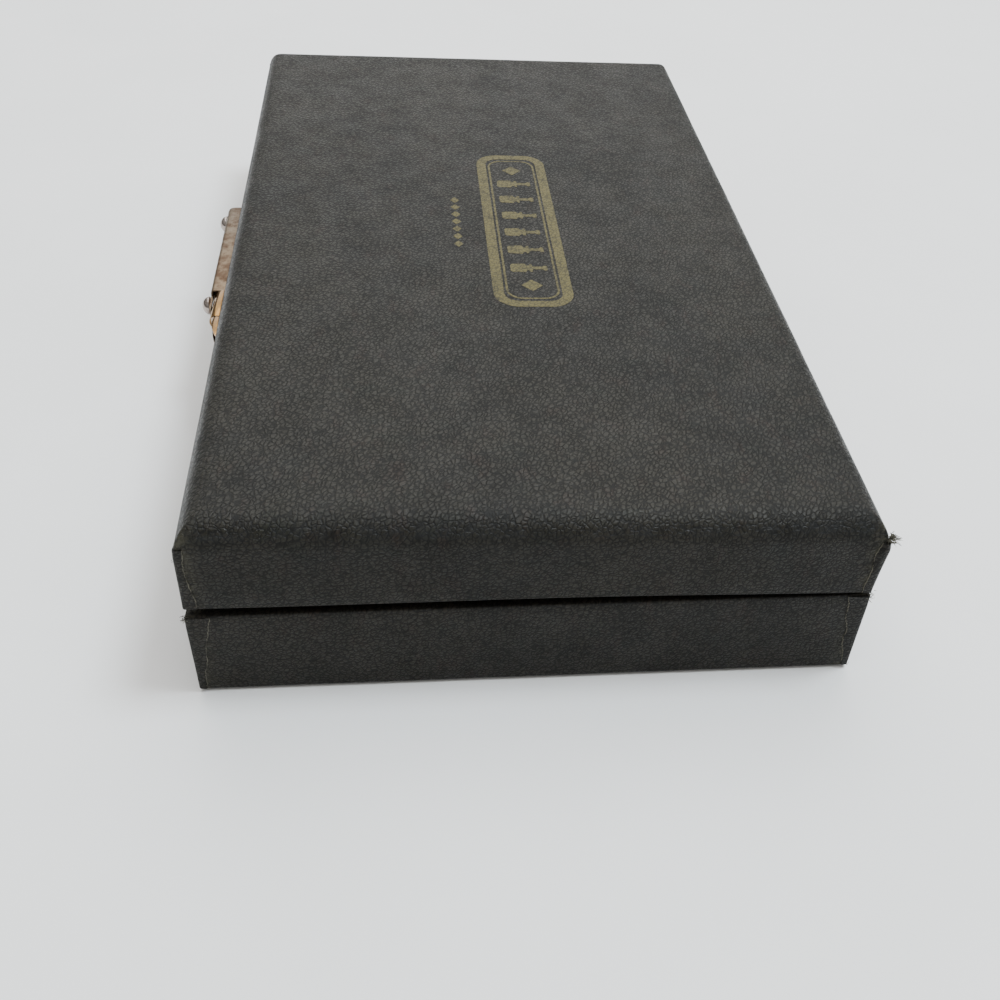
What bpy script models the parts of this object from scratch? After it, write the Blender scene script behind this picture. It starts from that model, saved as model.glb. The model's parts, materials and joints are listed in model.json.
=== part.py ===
"""Precision screwdriver set: six swivel-cap drivers in a hinged, leatherette-covered case.

X runs along the case, Y from the latch side (-Y) to the hinge side (+Y), and Z is up.
The origin is the centre of the underside. Every length is in metres.
The lid is drawn shut and then turned about its hinge pins by LID_REST_ANGLE, because the
springy latch and the padding hold it slightly ajar.
"""
import math

import bmesh
import bpy

MM = 0.001

# ---- Driving dimensions: case ----
CASE_LENGTH = 156.0 * MM
CASE_WIDTH = 88.9 * MM
BASE_HEIGHT = 14.2 * MM
LID_BOTTOM = 14.4 * MM
LID_TOP = 27.0 * MM
LID_EDGE_RADIUS = 3.8 * MM
PLAN_RADIUS = 1.0 * MM
CORNER_MIN = 0.25 * MM
CORNER_STEPS = 3
LID_EDGE_STEPS = 5
COVERING = 0.5 * MM
WALL = 3.9 * MM
FIT = 0.1 * MM
LID_REST_ANGLE = math.radians(1.4)

# ---- Base stack, measured up from the surface it stands on ----
SHEET_INSET = 1.6 * MM
SHEET_TOP = 0.4 * MM
COVERING_FOOT = 0.12 * MM
TURN_UNDER = 9.0 * MM
TURN_UNDER_TOP = 0.9 * MM
BOARD_TOP = 2.6 * MM
TURN_IN_BOTTOM = 12.0 * MM
LID_TURN_IN = 3.2 * MM
BOARD_SPLIT = 24.2 * MM

# ---- Tool tray ----
TRAY_INSET = 5.2 * MM
TRAY_LIP = 0.9 * MM
TRAY_BOTTOM = 2.7 * MM
TRAY_TOP = 13.4 * MM
TRAY_LIP_TOP = 17.4 * MM
POCKET_RADIUS = 4.0 * MM
BLADE_POCKET_RADIUS = 2.0 * MM
POCKET_STEPS = 8
TROUGH_X = (-42.0 * MM, -24.0 * MM)
TROUGH_HALF_Y = 36.0 * MM
TROUGH_BOTTOM = 6.4 * MM

# ---- Lid pad and lining ----
PAD_INSET = 5.3 * MM
PAD_BOTTOM = 22.0 * MM
PAD_TOP = 24.1 * MM
LINING_BOTTOM = 18.0 * MM

# ---- Drivers ----
DRIVER_PITCH = 12.4 * MM
DRIVER_AXIS_Z = 9.0 * MM
CAP_END_X = -68.0 * MM
CAP_LENGTH = 6.8 * MM
CAP_STUD_LENGTH = 3.6 * MM
HANDLE_LENGTH = 50.0 * MM
HANDLE_RADIUS = 3.6 * MM
NOSE_RADIUS = 2.6 * MM
NOSE_LENGTH = 4.2 * MM
RING_LENGTH = 2.2 * MM
RING_WALL = 0.6 * MM
BLADE_IN_HANDLE = 9.0 * MM
ROUND_STEPS = 14
# kind of tip, tip width, shank radius, distance from the case's centre to the tip
DRIVERS = (
    ("slotted", 1.0 * MM, 0.70 * MM, 50.0 * MM),
    ("slotted", 1.4 * MM, 0.80 * MM, 53.0 * MM),
    ("slotted", 2.0 * MM, 1.00 * MM, 57.0 * MM),
    ("slotted", 2.8 * MM, 1.30 * MM, 61.0 * MM),
    ("cross", 0.5 * MM, 0.90 * MM, 55.0 * MM),
    ("cross", 0.8 * MM, 1.25 * MM, 60.0 * MM),
)

# ---- Hinges on the +Y wall ----
HINGE_CENTRES_X = (-46.0 * MM, 46.0 * MM)
HINGE_LENGTH = 16.0 * MM
HINGE_KNUCKLES = 5
HINGE_AXIS_OUT = 1.1 * MM
HINGE_AXIS_Z = 14.3 * MM
HINGE_ROLL_RADIUS = 1.0 * MM
HINGE_SHEET = 0.45 * MM
HINGE_LEAF = 7.2 * MM
HINGE_PIN_RADIUS = 0.4 * MM
KNUCKLE_GAP = 0.15 * MM
HINGE_NAIL_X = 5.2 * MM
HINGE_NAIL_Z = 4.4 * MM

# ---- Latch on the -Y wall ----
LATCH_CENTRE_X = -4.1 * MM
LATCH_LENGTH = 34.4 * MM
LATCH_AXIS_OUT = 2.0 * MM
LATCH_AXIS_Z = 16.6 * MM
LATCH_SHEET = 0.35 * MM
LATCH_PLATE_SHEET = 0.3 * MM
LATCH_KNUCKLE = (12.7 * MM, 20.6 * MM)
LATCH_KNUCKLE_RADIUS = 1.32 * MM
LATCH_EAR_END = 26.9 * MM
LATCH_EAR_SLOT = 0.25 * MM
KNUCKLE_WINDOW_GAP = 0.15 * MM
KNUCKLE_WINDOW_FOOT = 0.1 * MM
LATCH_PIN_RADIUS = 0.42 * MM
LATCH_PIN_INSET = 0.8 * MM
FLAP_FACE = 1.9 * MM
FLAP_DROP = 12.2 * MM
FLAP_SHOULDER = -0.5 * MM
FLAP_CORNER = 1.4 * MM
CLIP_SHEET = 0.15 * MM
CLIP_HALF_X = (7.0 * MM, 15.6 * MM)
RIVET_X = 14.2 * MM
RIVET_Z = -0.75 * MM
RIVET_RADIUS = 1.5 * MM
RIVET_HEIGHT = 1.3 * MM
PLATE_NAIL_X = 14.0 * MM
PLATE_NAIL_Z = 2.9 * MM
KEEPER_SHEET = 0.4 * MM
KEEPER_HALF_X = 9.0 * MM
KEEPER_Z = (4.4 * MM, 13.2 * MM)
KEEPER_BEAD_Z = 8.6 * MM
KEEPER_BEAD_RADIUS = 1.0 * MM
KEEPER_NAIL_X = 6.6 * MM
KEEPER_NAIL_Z = 11.6 * MM

# ---- Nails ----
NAIL_SHANK = 0.35 * MM
NAIL_DEPTH = 2.6 * MM
NAIL_HEAD = 0.95 * MM
NAIL_HEAD_HEIGHT = 0.3 * MM
NAIL_STEPS = 8
HOLE_CLEARANCE = 0.1 * MM

RING_COLOURS = (
    ("ring_red", (0.55, 0.03, 0.03)),
    ("ring_yellow", (0.75, 0.50, 0.04)),
    ("ring_green", (0.03, 0.28, 0.08)),
    ("ring_blue", (0.03, 0.12, 0.45)),
    ("ring_black", (0.02, 0.02, 0.02)),
    ("ring_white", (0.75, 0.74, 0.70)),
)


# ---- Scene and object helpers ----
def clear_scene():
    for old in list(bpy.data.objects):
        bpy.data.objects.remove(old, do_unlink=True)


def make_material(name, colour, roughness, metallic=0.0):
    material = bpy.data.materials.new(name)
    material.use_nodes = True
    shader = material.node_tree.nodes["Principled BSDF"]
    shader.inputs["Base Color"].default_value = (*colour, 1.0)
    shader.inputs["Roughness"].default_value = roughness
    shader.inputs["Metallic"].default_value = metallic
    return material


def add_empty(name, location, parent=None):
    empty = bpy.data.objects.new(name, None)
    empty.empty_display_size = 5 * MM
    empty.location = location
    bpy.context.scene.collection.objects.link(empty)
    attach(empty, parent)
    return empty


def attach(obj, parent):
    """Parent obj without moving it."""
    if parent is None:
        return
    bpy.context.view_layer.update()
    obj.parent = parent
    obj.matrix_parent_inverse = parent.matrix_world.inverted()


def add_object(name, bm, material, parent=None):
    bmesh.ops.recalc_face_normals(bm, faces=bm.faces)
    mesh = bpy.data.meshes.new(name)
    bm.to_mesh(mesh)
    bm.free()
    mesh.materials.append(material)
    obj = bpy.data.objects.new(name, mesh)
    bpy.context.scene.collection.objects.link(obj)
    smooth(obj)
    attach(obj, parent)
    return obj


def smooth(obj):
    obj.data.shade_smooth()
    obj.data.set_sharp_from_angle(angle=math.radians(35))


def cut(target, cutter_bm):
    """Cut a closed tool shape out of an object and keep the result as its mesh."""
    cutter = add_object("cutter", cutter_bm, target.data.materials[0])
    boolean = target.modifiers.new("cut", "BOOLEAN")
    boolean.object = cutter
    boolean.operation = "DIFFERENCE"
    bpy.context.view_layer.update()
    graph = bpy.context.evaluated_depsgraph_get()
    target.data = bpy.data.meshes.new_from_object(target.evaluated_get(graph))
    target.modifiers.clear()
    bpy.data.objects.remove(cutter, do_unlink=True)
    smooth(target)


# ---- Shape helpers ----
def join_loops(loops, closed=False, bm=None):
    """Skin a row of point loops: capped at both ends, or closed into a ring."""
    bm = bm or bmesh.new()
    rings = [[bm.verts.new(point) for point in loop] for loop in loops]
    pairs = list(zip(rings, rings[1:]))
    if closed:
        pairs.append((rings[-1], rings[0]))
    else:
        bm.faces.new(list(reversed(rings[0])))
        bm.faces.new(rings[-1])
    for low, high in pairs:
        for i in range(len(low)):
            j = (i + 1) % len(low)
            bm.faces.new((low[i], low[j], high[j], high[i]))
    return bm


def outline(inset, z):
    """The case's rounded-rectangle outline, drawn a given inset inside its outer faces."""
    radius = max(PLAN_RADIUS - inset, CORNER_MIN)
    half_x = CASE_LENGTH / 2 - inset - radius
    half_y = CASE_WIDTH / 2 - inset - radius
    points = []
    for quarter, (side_x, side_y) in enumerate(((1, 1), (-1, 1), (-1, -1), (1, -1))):
        for step in range(CORNER_STEPS + 1):
            angle = math.radians(90) * (quarter + step / CORNER_STEPS)
            x = side_x * half_x + radius * math.cos(angle)
            y = side_y * half_y + radius * math.sin(angle)
            points.append((x, y, z))
    return points


def stack(profile, closed=False, bm=None):
    return join_loops([outline(inset, z) for inset, z in profile], closed, bm)


def arc(centre, radius, start, end, steps):
    """Points of an arc in a plane, angles in degrees."""
    points = []
    for step in range(steps + 1):
        angle = math.radians(start + (end - start) * step / steps)
        x = centre[0] + radius * math.cos(angle)
        y = centre[1] + radius * math.sin(angle)
        points.append((x, y))
    return points


def turned(profile, centre, axis, steps, closed=False, bm=None):
    """A turned solid: profile holds (distance along the axis, radius) pairs."""
    loops = []
    for along, radius in profile:
        loop = []
        for step in range(steps):
            angle = 2 * math.pi * step / steps
            a, b = radius * math.cos(angle), radius * math.sin(angle)
            offset = (along, a, b) if axis == "x" else (a, along, b)
            loop.append(tuple(c + o for c, o in zip(centre, offset)))
        loops.append(loop)
    return join_loops(loops, closed, bm)


def box(x, y, z, bm=None):
    """A block between pairs of x, y and z."""
    loops = []
    for height in z:
        corners = ((x[0], y[0]), (x[1], y[0]), (x[1], y[1]), (x[0], y[1]))
        loops.append([(px, py, height) for px, py in corners])
    return join_loops(loops, bm=bm)


def extrude_x(section, x0, x1, bm=None):
    """A prism along X from a closed section of (y, z) points."""
    loops = [[(x, y, z) for y, z in section] for x in (x0, x1)]
    return join_loops(loops, bm=bm)


def sheet(path, thickness):
    """Closed section of bent sheet metal: path is one face, the other lies to its left."""
    other = []
    for i, point in enumerate(path):
        before = path[max(i - 1, 0)]
        after = path[min(i + 1, len(path) - 1)]
        normals = []
        for start, end in ((before, point), (point, after)):
            run, rise = end[0] - start[0], end[1] - start[1]
            length = math.hypot(run, rise)
            if length > 0:
                normals.append((-rise / length, run / length))
        nx = sum(n[0] for n in normals)
        ny = sum(n[1] for n in normals)
        scale = thickness * len(normals) / (nx * nx + ny * ny)
        other.append((point[0] + nx * scale, point[1] + ny * scale))
    return path + other[::-1]


# ---- Materials ----
def make_materials():
    table = {
        "leatherette": ((0.040, 0.038, 0.036), 0.55, 0.0),
        "pulp_board": ((0.33, 0.25, 0.16), 0.85, 0.0),
        "base_paper": ((0.030, 0.028, 0.027), 0.80, 0.0),
        "flock": ((0.14, 0.010, 0.018), 0.95, 0.0),
        "satin": ((0.60, 0.53, 0.40), 0.45, 0.0),
        "gilt_brass": ((0.62, 0.45, 0.22), 0.25, 1.0),
        "worn_brass": ((0.38, 0.25, 0.16), 0.45, 1.0),
        "nickel": ((0.55, 0.50, 0.46), 0.25, 1.0),
        "spring_steel": ((0.45, 0.45, 0.46), 0.35, 1.0),
        "handle_metal": ((0.62, 0.62, 0.63), 0.28, 1.0),
        "blade_steel": ((0.42, 0.42, 0.43), 0.30, 1.0),
    }
    materials = {name: make_material(name, *values) for name, values in table.items()}
    for name, colour in RING_COLOURS:
        materials[name] = make_material(name, colour, 0.35)
    return materials


# ---- Case base ----
def nail_positions():
    """Centre of each nail in a wall: name, x, z, side (+1 hinge wall, -1 latch wall), head gap."""
    nails = []
    for number, centre_x in enumerate(HINGE_CENTRES_X, 1):
        corners = ((-1, -1), (1, -1), (-1, 1), (1, 1))
        for nail, (sx, sz) in enumerate(corners, 1):
            x = centre_x + sx * HINGE_NAIL_X
            z = HINGE_AXIS_Z + sz * HINGE_NAIL_Z
            part = "lid" if sz > 0 else "base"
            nails.append((f"hinge_{number}_nail_{nail}", x, z, 1, HINGE_SHEET, part))
    for nail, sx in enumerate((-1, 1), 1):
        x = LATCH_CENTRE_X + sx * PLATE_NAIL_X
        z = LATCH_AXIS_Z + PLATE_NAIL_Z
        nails.append((f"latch_plate_nail_{nail}", x, z, -1, LATCH_PLATE_SHEET, "lid"))
        x = LATCH_CENTRE_X + sx * KEEPER_NAIL_X
        nails.append((f"keeper_nail_{nail}", x, KEEPER_NAIL_Z, -1, KEEPER_SHEET, "base"))
    return nails


def nail_hole(x, z, side, bm=None):
    """Tool for a nail's hole, from outside the wall to past the nail's point."""
    radius = NAIL_SHANK + HOLE_CLEARANCE
    outside = CASE_WIDTH / 2 + 3 * MM
    inside = CASE_WIDTH / 2 - NAIL_DEPTH - HOLE_CLEARANCE
    profile = [(side * inside, radius), (side * outside, radius)]
    return turned(profile, (x, 0, z), "y", NAIL_STEPS, bm=bm)


def drill_nails(obj, part, side=None):
    """Drill the nail holes of one part of the case through an object."""
    tools = bmesh.new()
    for _, x, z, nail_side, _, nail_part in nail_positions():
        if nail_part == part and side in (None, nail_side):
            nail_hole(x, z, nail_side, tools)
    cut(obj, tools)


def build_base(mats):
    sheet_profile = [(SHEET_INSET, 0.0), (SHEET_INSET, SHEET_TOP)]
    add_object("base_bottom_sheet", stack(sheet_profile), mats["base_paper"])

    skin = COVERING
    board_side = skin + FIT
    turn_in = board_side + WALL + FIT
    covering_profile = [
        (TURN_UNDER, TURN_UNDER_TOP),
        (skin, TURN_UNDER_TOP),
        (skin, BASE_HEIGHT - skin),
        (turn_in, BASE_HEIGHT - skin),
        (turn_in, TURN_IN_BOTTOM),
        (turn_in + 0.35 * MM, TURN_IN_BOTTOM),
        (turn_in + 0.35 * MM, BASE_HEIGHT - 0.3 * MM),
        (turn_in, BASE_HEIGHT),
        (0.3 * MM, BASE_HEIGHT),
        (0.0, BASE_HEIGHT - 0.3 * MM),
        (0.0, COVERING_FOOT + 0.3 * MM),
        (0.3 * MM, COVERING_FOOT),
        (SHEET_INSET - FIT, COVERING_FOOT),
        (SHEET_INSET - FIT, SHEET_TOP + FIT),
        (TURN_UNDER, SHEET_TOP + FIT),
    ]
    covering = add_object("base_covering", stack(covering_profile, True), mats["leatherette"])
    drill_nails(covering, "base")

    board_profile = [(board_side, TURN_UNDER_TOP + FIT), (board_side, BOARD_TOP - FIT)]
    add_object("base_bottom_board", stack(board_profile), mats["pulp_board"])

    frame_profile = [
        (board_side, BOARD_TOP),
        (board_side, BASE_HEIGHT - skin - FIT),
        (board_side + WALL, BASE_HEIGHT - skin - FIT),
        (board_side + WALL, BOARD_TOP),
    ]
    frame = add_object("base_frame", stack(frame_profile, True), mats["pulp_board"])
    drill_nails(frame, "base")


# ---- Tool tray ----
def pocket_section(y, radius):
    """A U-shaped section, round at the bottom and open above the tray."""
    bottom = arc((y, DRIVER_AXIS_Z), radius, 180, 360, POCKET_STEPS)
    top = TRAY_LIP_TOP + 1 * MM
    return bottom + [(y + radius, top), (y - radius, top)]


def driver_y(index):
    return (index - (len(DRIVERS) - 1) / 2) * DRIVER_PITCH


def build_tray(mats):
    body = [(TRAY_INSET, TRAY_BOTTOM), (TRAY_INSET, TRAY_LIP_TOP)]
    tray = add_object("tool_tray", stack(body), mats["flock"])
    inner = TRAY_INSET + TRAY_LIP
    cut(tray, stack([(inner, TRAY_TOP), (inner, TRAY_LIP_TOP + 1 * MM)]))

    handle_pockets = bmesh.new()
    blade_pockets = bmesh.new()
    handle_end = CAP_END_X + CAP_LENGTH + HANDLE_LENGTH
    for index, (_, _, _, tip_x) in enumerate(DRIVERS):
        y = driver_y(index)
        section = pocket_section(y, POCKET_RADIUS)
        extrude_x(section, CAP_END_X - 1 * MM, handle_end + 1 * MM, handle_pockets)
        section = pocket_section(y, BLADE_POCKET_RADIUS)
        extrude_x(section, handle_end - 1 * MM, tip_x + 2 * MM, blade_pockets)
    cut(tray, handle_pockets)
    cut(tray, blade_pockets)
    trough_y = (-TROUGH_HALF_Y, TROUGH_HALF_Y)
    cut(tray, box(TROUGH_X, trough_y, (TROUGH_BOTTOM, TRAY_LIP_TOP)))


# ---- Lid ----
def edge_arc(radius, start, end):
    """(inset, z) points of the lid's rounded top edge, from start to end degrees."""
    centre = (LID_EDGE_RADIUS, LID_TOP - LID_EDGE_RADIUS)
    return arc(centre, radius, 180 - start, 180 - end, LID_EDGE_STEPS)


def build_lid(mats, lid_axis):
    skin = COVERING
    board_side = skin + FIT
    turn_in = board_side + WALL + FIT
    turn_in_top = LID_BOTTOM + LID_TURN_IN
    covering_profile = edge_arc(LID_EDGE_RADIUS - skin, 90, 0)
    covering_profile += [
        (skin, LID_BOTTOM + skin),
        (turn_in, LID_BOTTOM + skin),
        (turn_in, turn_in_top),
        (turn_in + 0.35 * MM, turn_in_top),
        (turn_in + 0.35 * MM, LID_BOTTOM + 0.3 * MM),
        (turn_in, LID_BOTTOM),
        (0.3 * MM, LID_BOTTOM),
        (0.0, LID_BOTTOM + 0.3 * MM),
    ]
    covering_profile += edge_arc(LID_EDGE_RADIUS, 0, 90)
    covering = add_object("lid_covering", stack(covering_profile), mats["leatherette"], lid_axis)
    drill_nails(covering, "lid")

    board_radius = LID_EDGE_RADIUS - skin - FIT
    rise = BOARD_SPLIT - (LID_TOP - LID_EDGE_RADIUS)
    split = math.degrees(math.asin(rise / board_radius))
    frame_profile = [(board_side + WALL, LID_BOTTOM + skin + FIT)]
    frame_profile += [(board_side, LID_BOTTOM + skin + FIT)]
    frame_profile += edge_arc(board_radius, 0, split - 1)
    frame_profile += [(board_side + WALL, frame_profile[-1][1])]
    frame = add_object("lid_frame", stack(frame_profile, True), mats["pulp_board"], lid_axis)
    drill_nails(frame, "lid")

    board_profile = edge_arc(board_radius, split + 1, 90)
    add_object("lid_top_board", stack(board_profile), mats["pulp_board"], lid_axis)

    lining_profile = [
        (turn_in, LINING_BOTTOM),
        (turn_in, BOARD_SPLIT - 2 * FIT),
        (turn_in + 0.35 * MM, BOARD_SPLIT - 2 * FIT),
        (turn_in + 0.35 * MM, LINING_BOTTOM),
    ]
    add_object("lid_lining", stack(lining_profile, True), mats["satin"], lid_axis)

    pad_profile = [
        (PAD_INSET + 2.5 * MM, PAD_BOTTOM),
        (PAD_INSET, PAD_BOTTOM + 0.9 * MM),
        (PAD_INSET, PAD_TOP),
    ]
    add_object("lid_pad", stack(pad_profile), mats["satin"], lid_axis)


# ---- Nails ----
def add_nail(name, x, z, side, plate, material, parent):
    wall = CASE_WIDTH / 2
    seat = wall + plate + 2 * FIT
    profile = [
        (side * (wall - NAIL_DEPTH), NAIL_SHANK * 0.4),
        (side * (wall - NAIL_DEPTH + 0.6 * MM), NAIL_SHANK),
        (side * seat, NAIL_SHANK),
        (side * seat, NAIL_HEAD),
        (side * (seat + NAIL_HEAD_HEIGHT * 0.5), NAIL_HEAD),
        (side * (seat + NAIL_HEAD_HEIGHT), NAIL_HEAD * 0.6),
    ]
    bm = turned(profile, (x, 0, z), "y", NAIL_STEPS)
    add_object(name, bm, material, parent)


def build_nails(mats, lid_axis):
    for name, x, z, side, plate, part in nail_positions():
        parent = lid_axis if part == "lid" else None
        add_nail(name, x, z, side, plate, mats["nickel"], parent)


# ---- Hinges ----
def hinge_leaf_section(direction):
    """Leaf flat on the wall, rolled round the pin; direction is +1 for the lid, -1 for the base."""
    roll = HINGE_ROLL_RADIUS
    path = [(-roll, -HINGE_LEAF)]
    path += arc((0, 0), roll, 180, -110, 14)
    section = sheet(path, -HINGE_SHEET)
    axis_y = CASE_WIDTH / 2 + HINGE_AXIS_OUT
    return [(axis_y + out, HINGE_AXIS_Z - direction * up) for out, up in section]


def build_hinges(mats, lid_axis):
    axis_y = CASE_WIDTH / 2 + HINGE_AXIS_OUT
    pitch = HINGE_LENGTH / HINGE_KNUCKLES
    clear = HINGE_ROLL_RADIUS + 0.2 * MM
    for number, centre_x in enumerate(HINGE_CENTRES_X, 1):
        start = centre_x - HINGE_LENGTH / 2
        for part, direction, own in (("base", -1, 0), ("lid", 1, 1)):
            parent = lid_axis if part == "lid" else None
            section = hinge_leaf_section(direction)
            bm = extrude_x(section, start, start + HINGE_LENGTH)
            leaf = add_object(f"hinge_{number}_{part}_leaf", bm, mats["gilt_brass"], parent)
            notches = bmesh.new()
            for knuckle in range(HINGE_KNUCKLES):
                if knuckle % 2 != own:
                    low = start + knuckle * pitch - KNUCKLE_GAP
                    high = start + (knuckle + 1) * pitch + KNUCKLE_GAP
                    y = (axis_y - clear, axis_y + clear)
                    z = (HINGE_AXIS_Z - clear, HINGE_AXIS_Z + clear)
                    box((low, high), y, z, notches)
            cut(leaf, notches)
            holes = bmesh.new()
            for side_x in (-1, 1):
                x = centre_x + side_x * HINGE_NAIL_X
                z = HINGE_AXIS_Z + direction * HINGE_NAIL_Z
                nail_hole(x, z, 1, holes)
            cut(leaf, holes)
        half = HINGE_LENGTH / 2 + 0.3 * MM
        radius = HINGE_PIN_RADIUS
        profile = [(-half, radius * 0.6), (-half + 0.2 * MM, radius)]
        profile += [(half - 0.2 * MM, radius), (half, radius * 0.6)]
        pin = turned(profile, (centre_x, axis_y, HINGE_AXIS_Z), "x", 10)
        add_object(f"hinge_{number}_pin", pin, mats["nickel"])


# ---- Latch ----
def latch_point(out, up):
    """World (y, z) of a point given outwards and upwards from the latch pin."""
    return (-(CASE_WIDTH / 2 + LATCH_AXIS_OUT + out), LATCH_AXIS_Z + up)


def latch_section(path, thickness):
    return [latch_point(out, up) for out, up in sheet(path, thickness)]


def latch_box(x, out, up, bm=None):
    y0, z0 = latch_point(out[1], up[0])
    y1, z1 = latch_point(out[0], up[1])
    x = tuple(LATCH_CENTRE_X + value for value in x)
    return box(x, (y0, y1), (z0, z1), bm)


def flap_path():
    """Outer face of the flap, from its finger lip up the front and round the pin."""
    path = [(FLAP_FACE + 0.8 * MM, -FLAP_DROP), (FLAP_FACE, -FLAP_DROP + 1.2 * MM)]
    path += arc((FLAP_FACE - 0.6 * MM, 0.6 * MM), 0.6 * MM, 0, 90, 4)
    path += arc((-0.3 * MM, 0.4 * MM), 0.8 * MM, 90, 180, 5)
    path += [(-1.1 * MM, -0.6 * MM)]
    return path


def hinge_plate_path():
    """Wall face of the lid's latch plate, down the wall, out under the pin and round it."""
    roll = LATCH_KNUCKLE_RADIUS
    wall_face = -LATCH_AXIS_OUT + FIT
    fold = 0.6 * MM
    path = [(wall_face, 4.4 * MM)]
    path += arc((wall_face + fold, -roll + fold), fold, 180, 270, 4)
    path += arc((0, 0), roll, -90, 190, 14)
    return path


def flap_outline_tool():
    """Tool that trims the flap below its shoulders to a half-moon."""
    depth = FLAP_SHOULDER + FLAP_DROP
    half = LATCH_LENGTH / 2
    radius = (half * half + depth * depth) / (2 * depth)
    reach = math.degrees(math.asin(half / radius))
    edge = arc((0, radius - FLAP_DROP), radius, 270 - reach, 270 + reach, 20)
    beyond = half + 1 * MM
    below = -FLAP_DROP - 1 * MM
    points = edge + [(beyond, FLAP_SHOULDER), (beyond, below), (-beyond, below)]
    points += [(-beyond, FLAP_SHOULDER)]
    loops = []
    for out in (-1.4 * MM, 4.0 * MM):
        loops.append([(LATCH_CENTRE_X + x, *latch_point(out, up)) for x, up in points])
    return join_loops(loops)


def trim_tool(outline, bm=None):
    """Tool that trims the latch from above to an outline of (x, outwards) points."""
    loops = []
    for up in (-4.0 * MM, 2.0 * MM):
        loop = []
        for x, out in outline:
            y, z = latch_point(out, up)
            loop.append((LATCH_CENTRE_X + x, y, z))
        loops.append(loop)
    return join_loops(loops, bm=bm)


def flap_corner_tool(side, bm):
    """Tool that rounds the outer corner at one end of the flap."""
    end = side * LATCH_LENGTH / 2
    centre = (end - side * FLAP_CORNER, FLAP_FACE - FLAP_CORNER)
    outline = []
    for x, out in arc((0, 0), FLAP_CORNER, 0, 90, 5):
        outline.append((centre[0] + side * x, centre[1] + out))
    outline.append((outline[-1][0], FLAP_FACE + 1 * MM))
    outline.append((end + side * 1 * MM, FLAP_FACE + 1 * MM))
    outline.append((end + side * 1 * MM, centre[1]))
    trim_tool(outline, bm)


def ear_tool():
    """Tool that tapers the plate's rolled ear, from the knuckle to its tip."""
    knuckle_end = LATCH_KNUCKLE[1]
    outline = [
        (knuckle_end, 0.95 * MM),
        (knuckle_end + 1.4 * MM, 0.8 * MM),
        (knuckle_end + 3.6 * MM, 0.4 * MM),
        (knuckle_end + 5.2 * MM, -0.1 * MM),
        (knuckle_end + 6.0 * MM, -0.6 * MM),
        (LATCH_EAR_END + 1 * MM, -0.9 * MM),
        (LATCH_EAR_END + 1 * MM, 2.0 * MM),
        (knuckle_end, 2.0 * MM),
    ]
    return trim_tool(outline)


def rivet_hole(side, bm=None):
    y, z = latch_point(0, RIVET_Z)
    radius = 0.3 * MM + HOLE_CLEARANCE
    profile = [(-3 * MM, radius), (0, radius)]
    centre = (LATCH_CENTRE_X + side * RIVET_X, y, z)
    return turned(profile, centre, "y", NAIL_STEPS, bm=bm)


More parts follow.
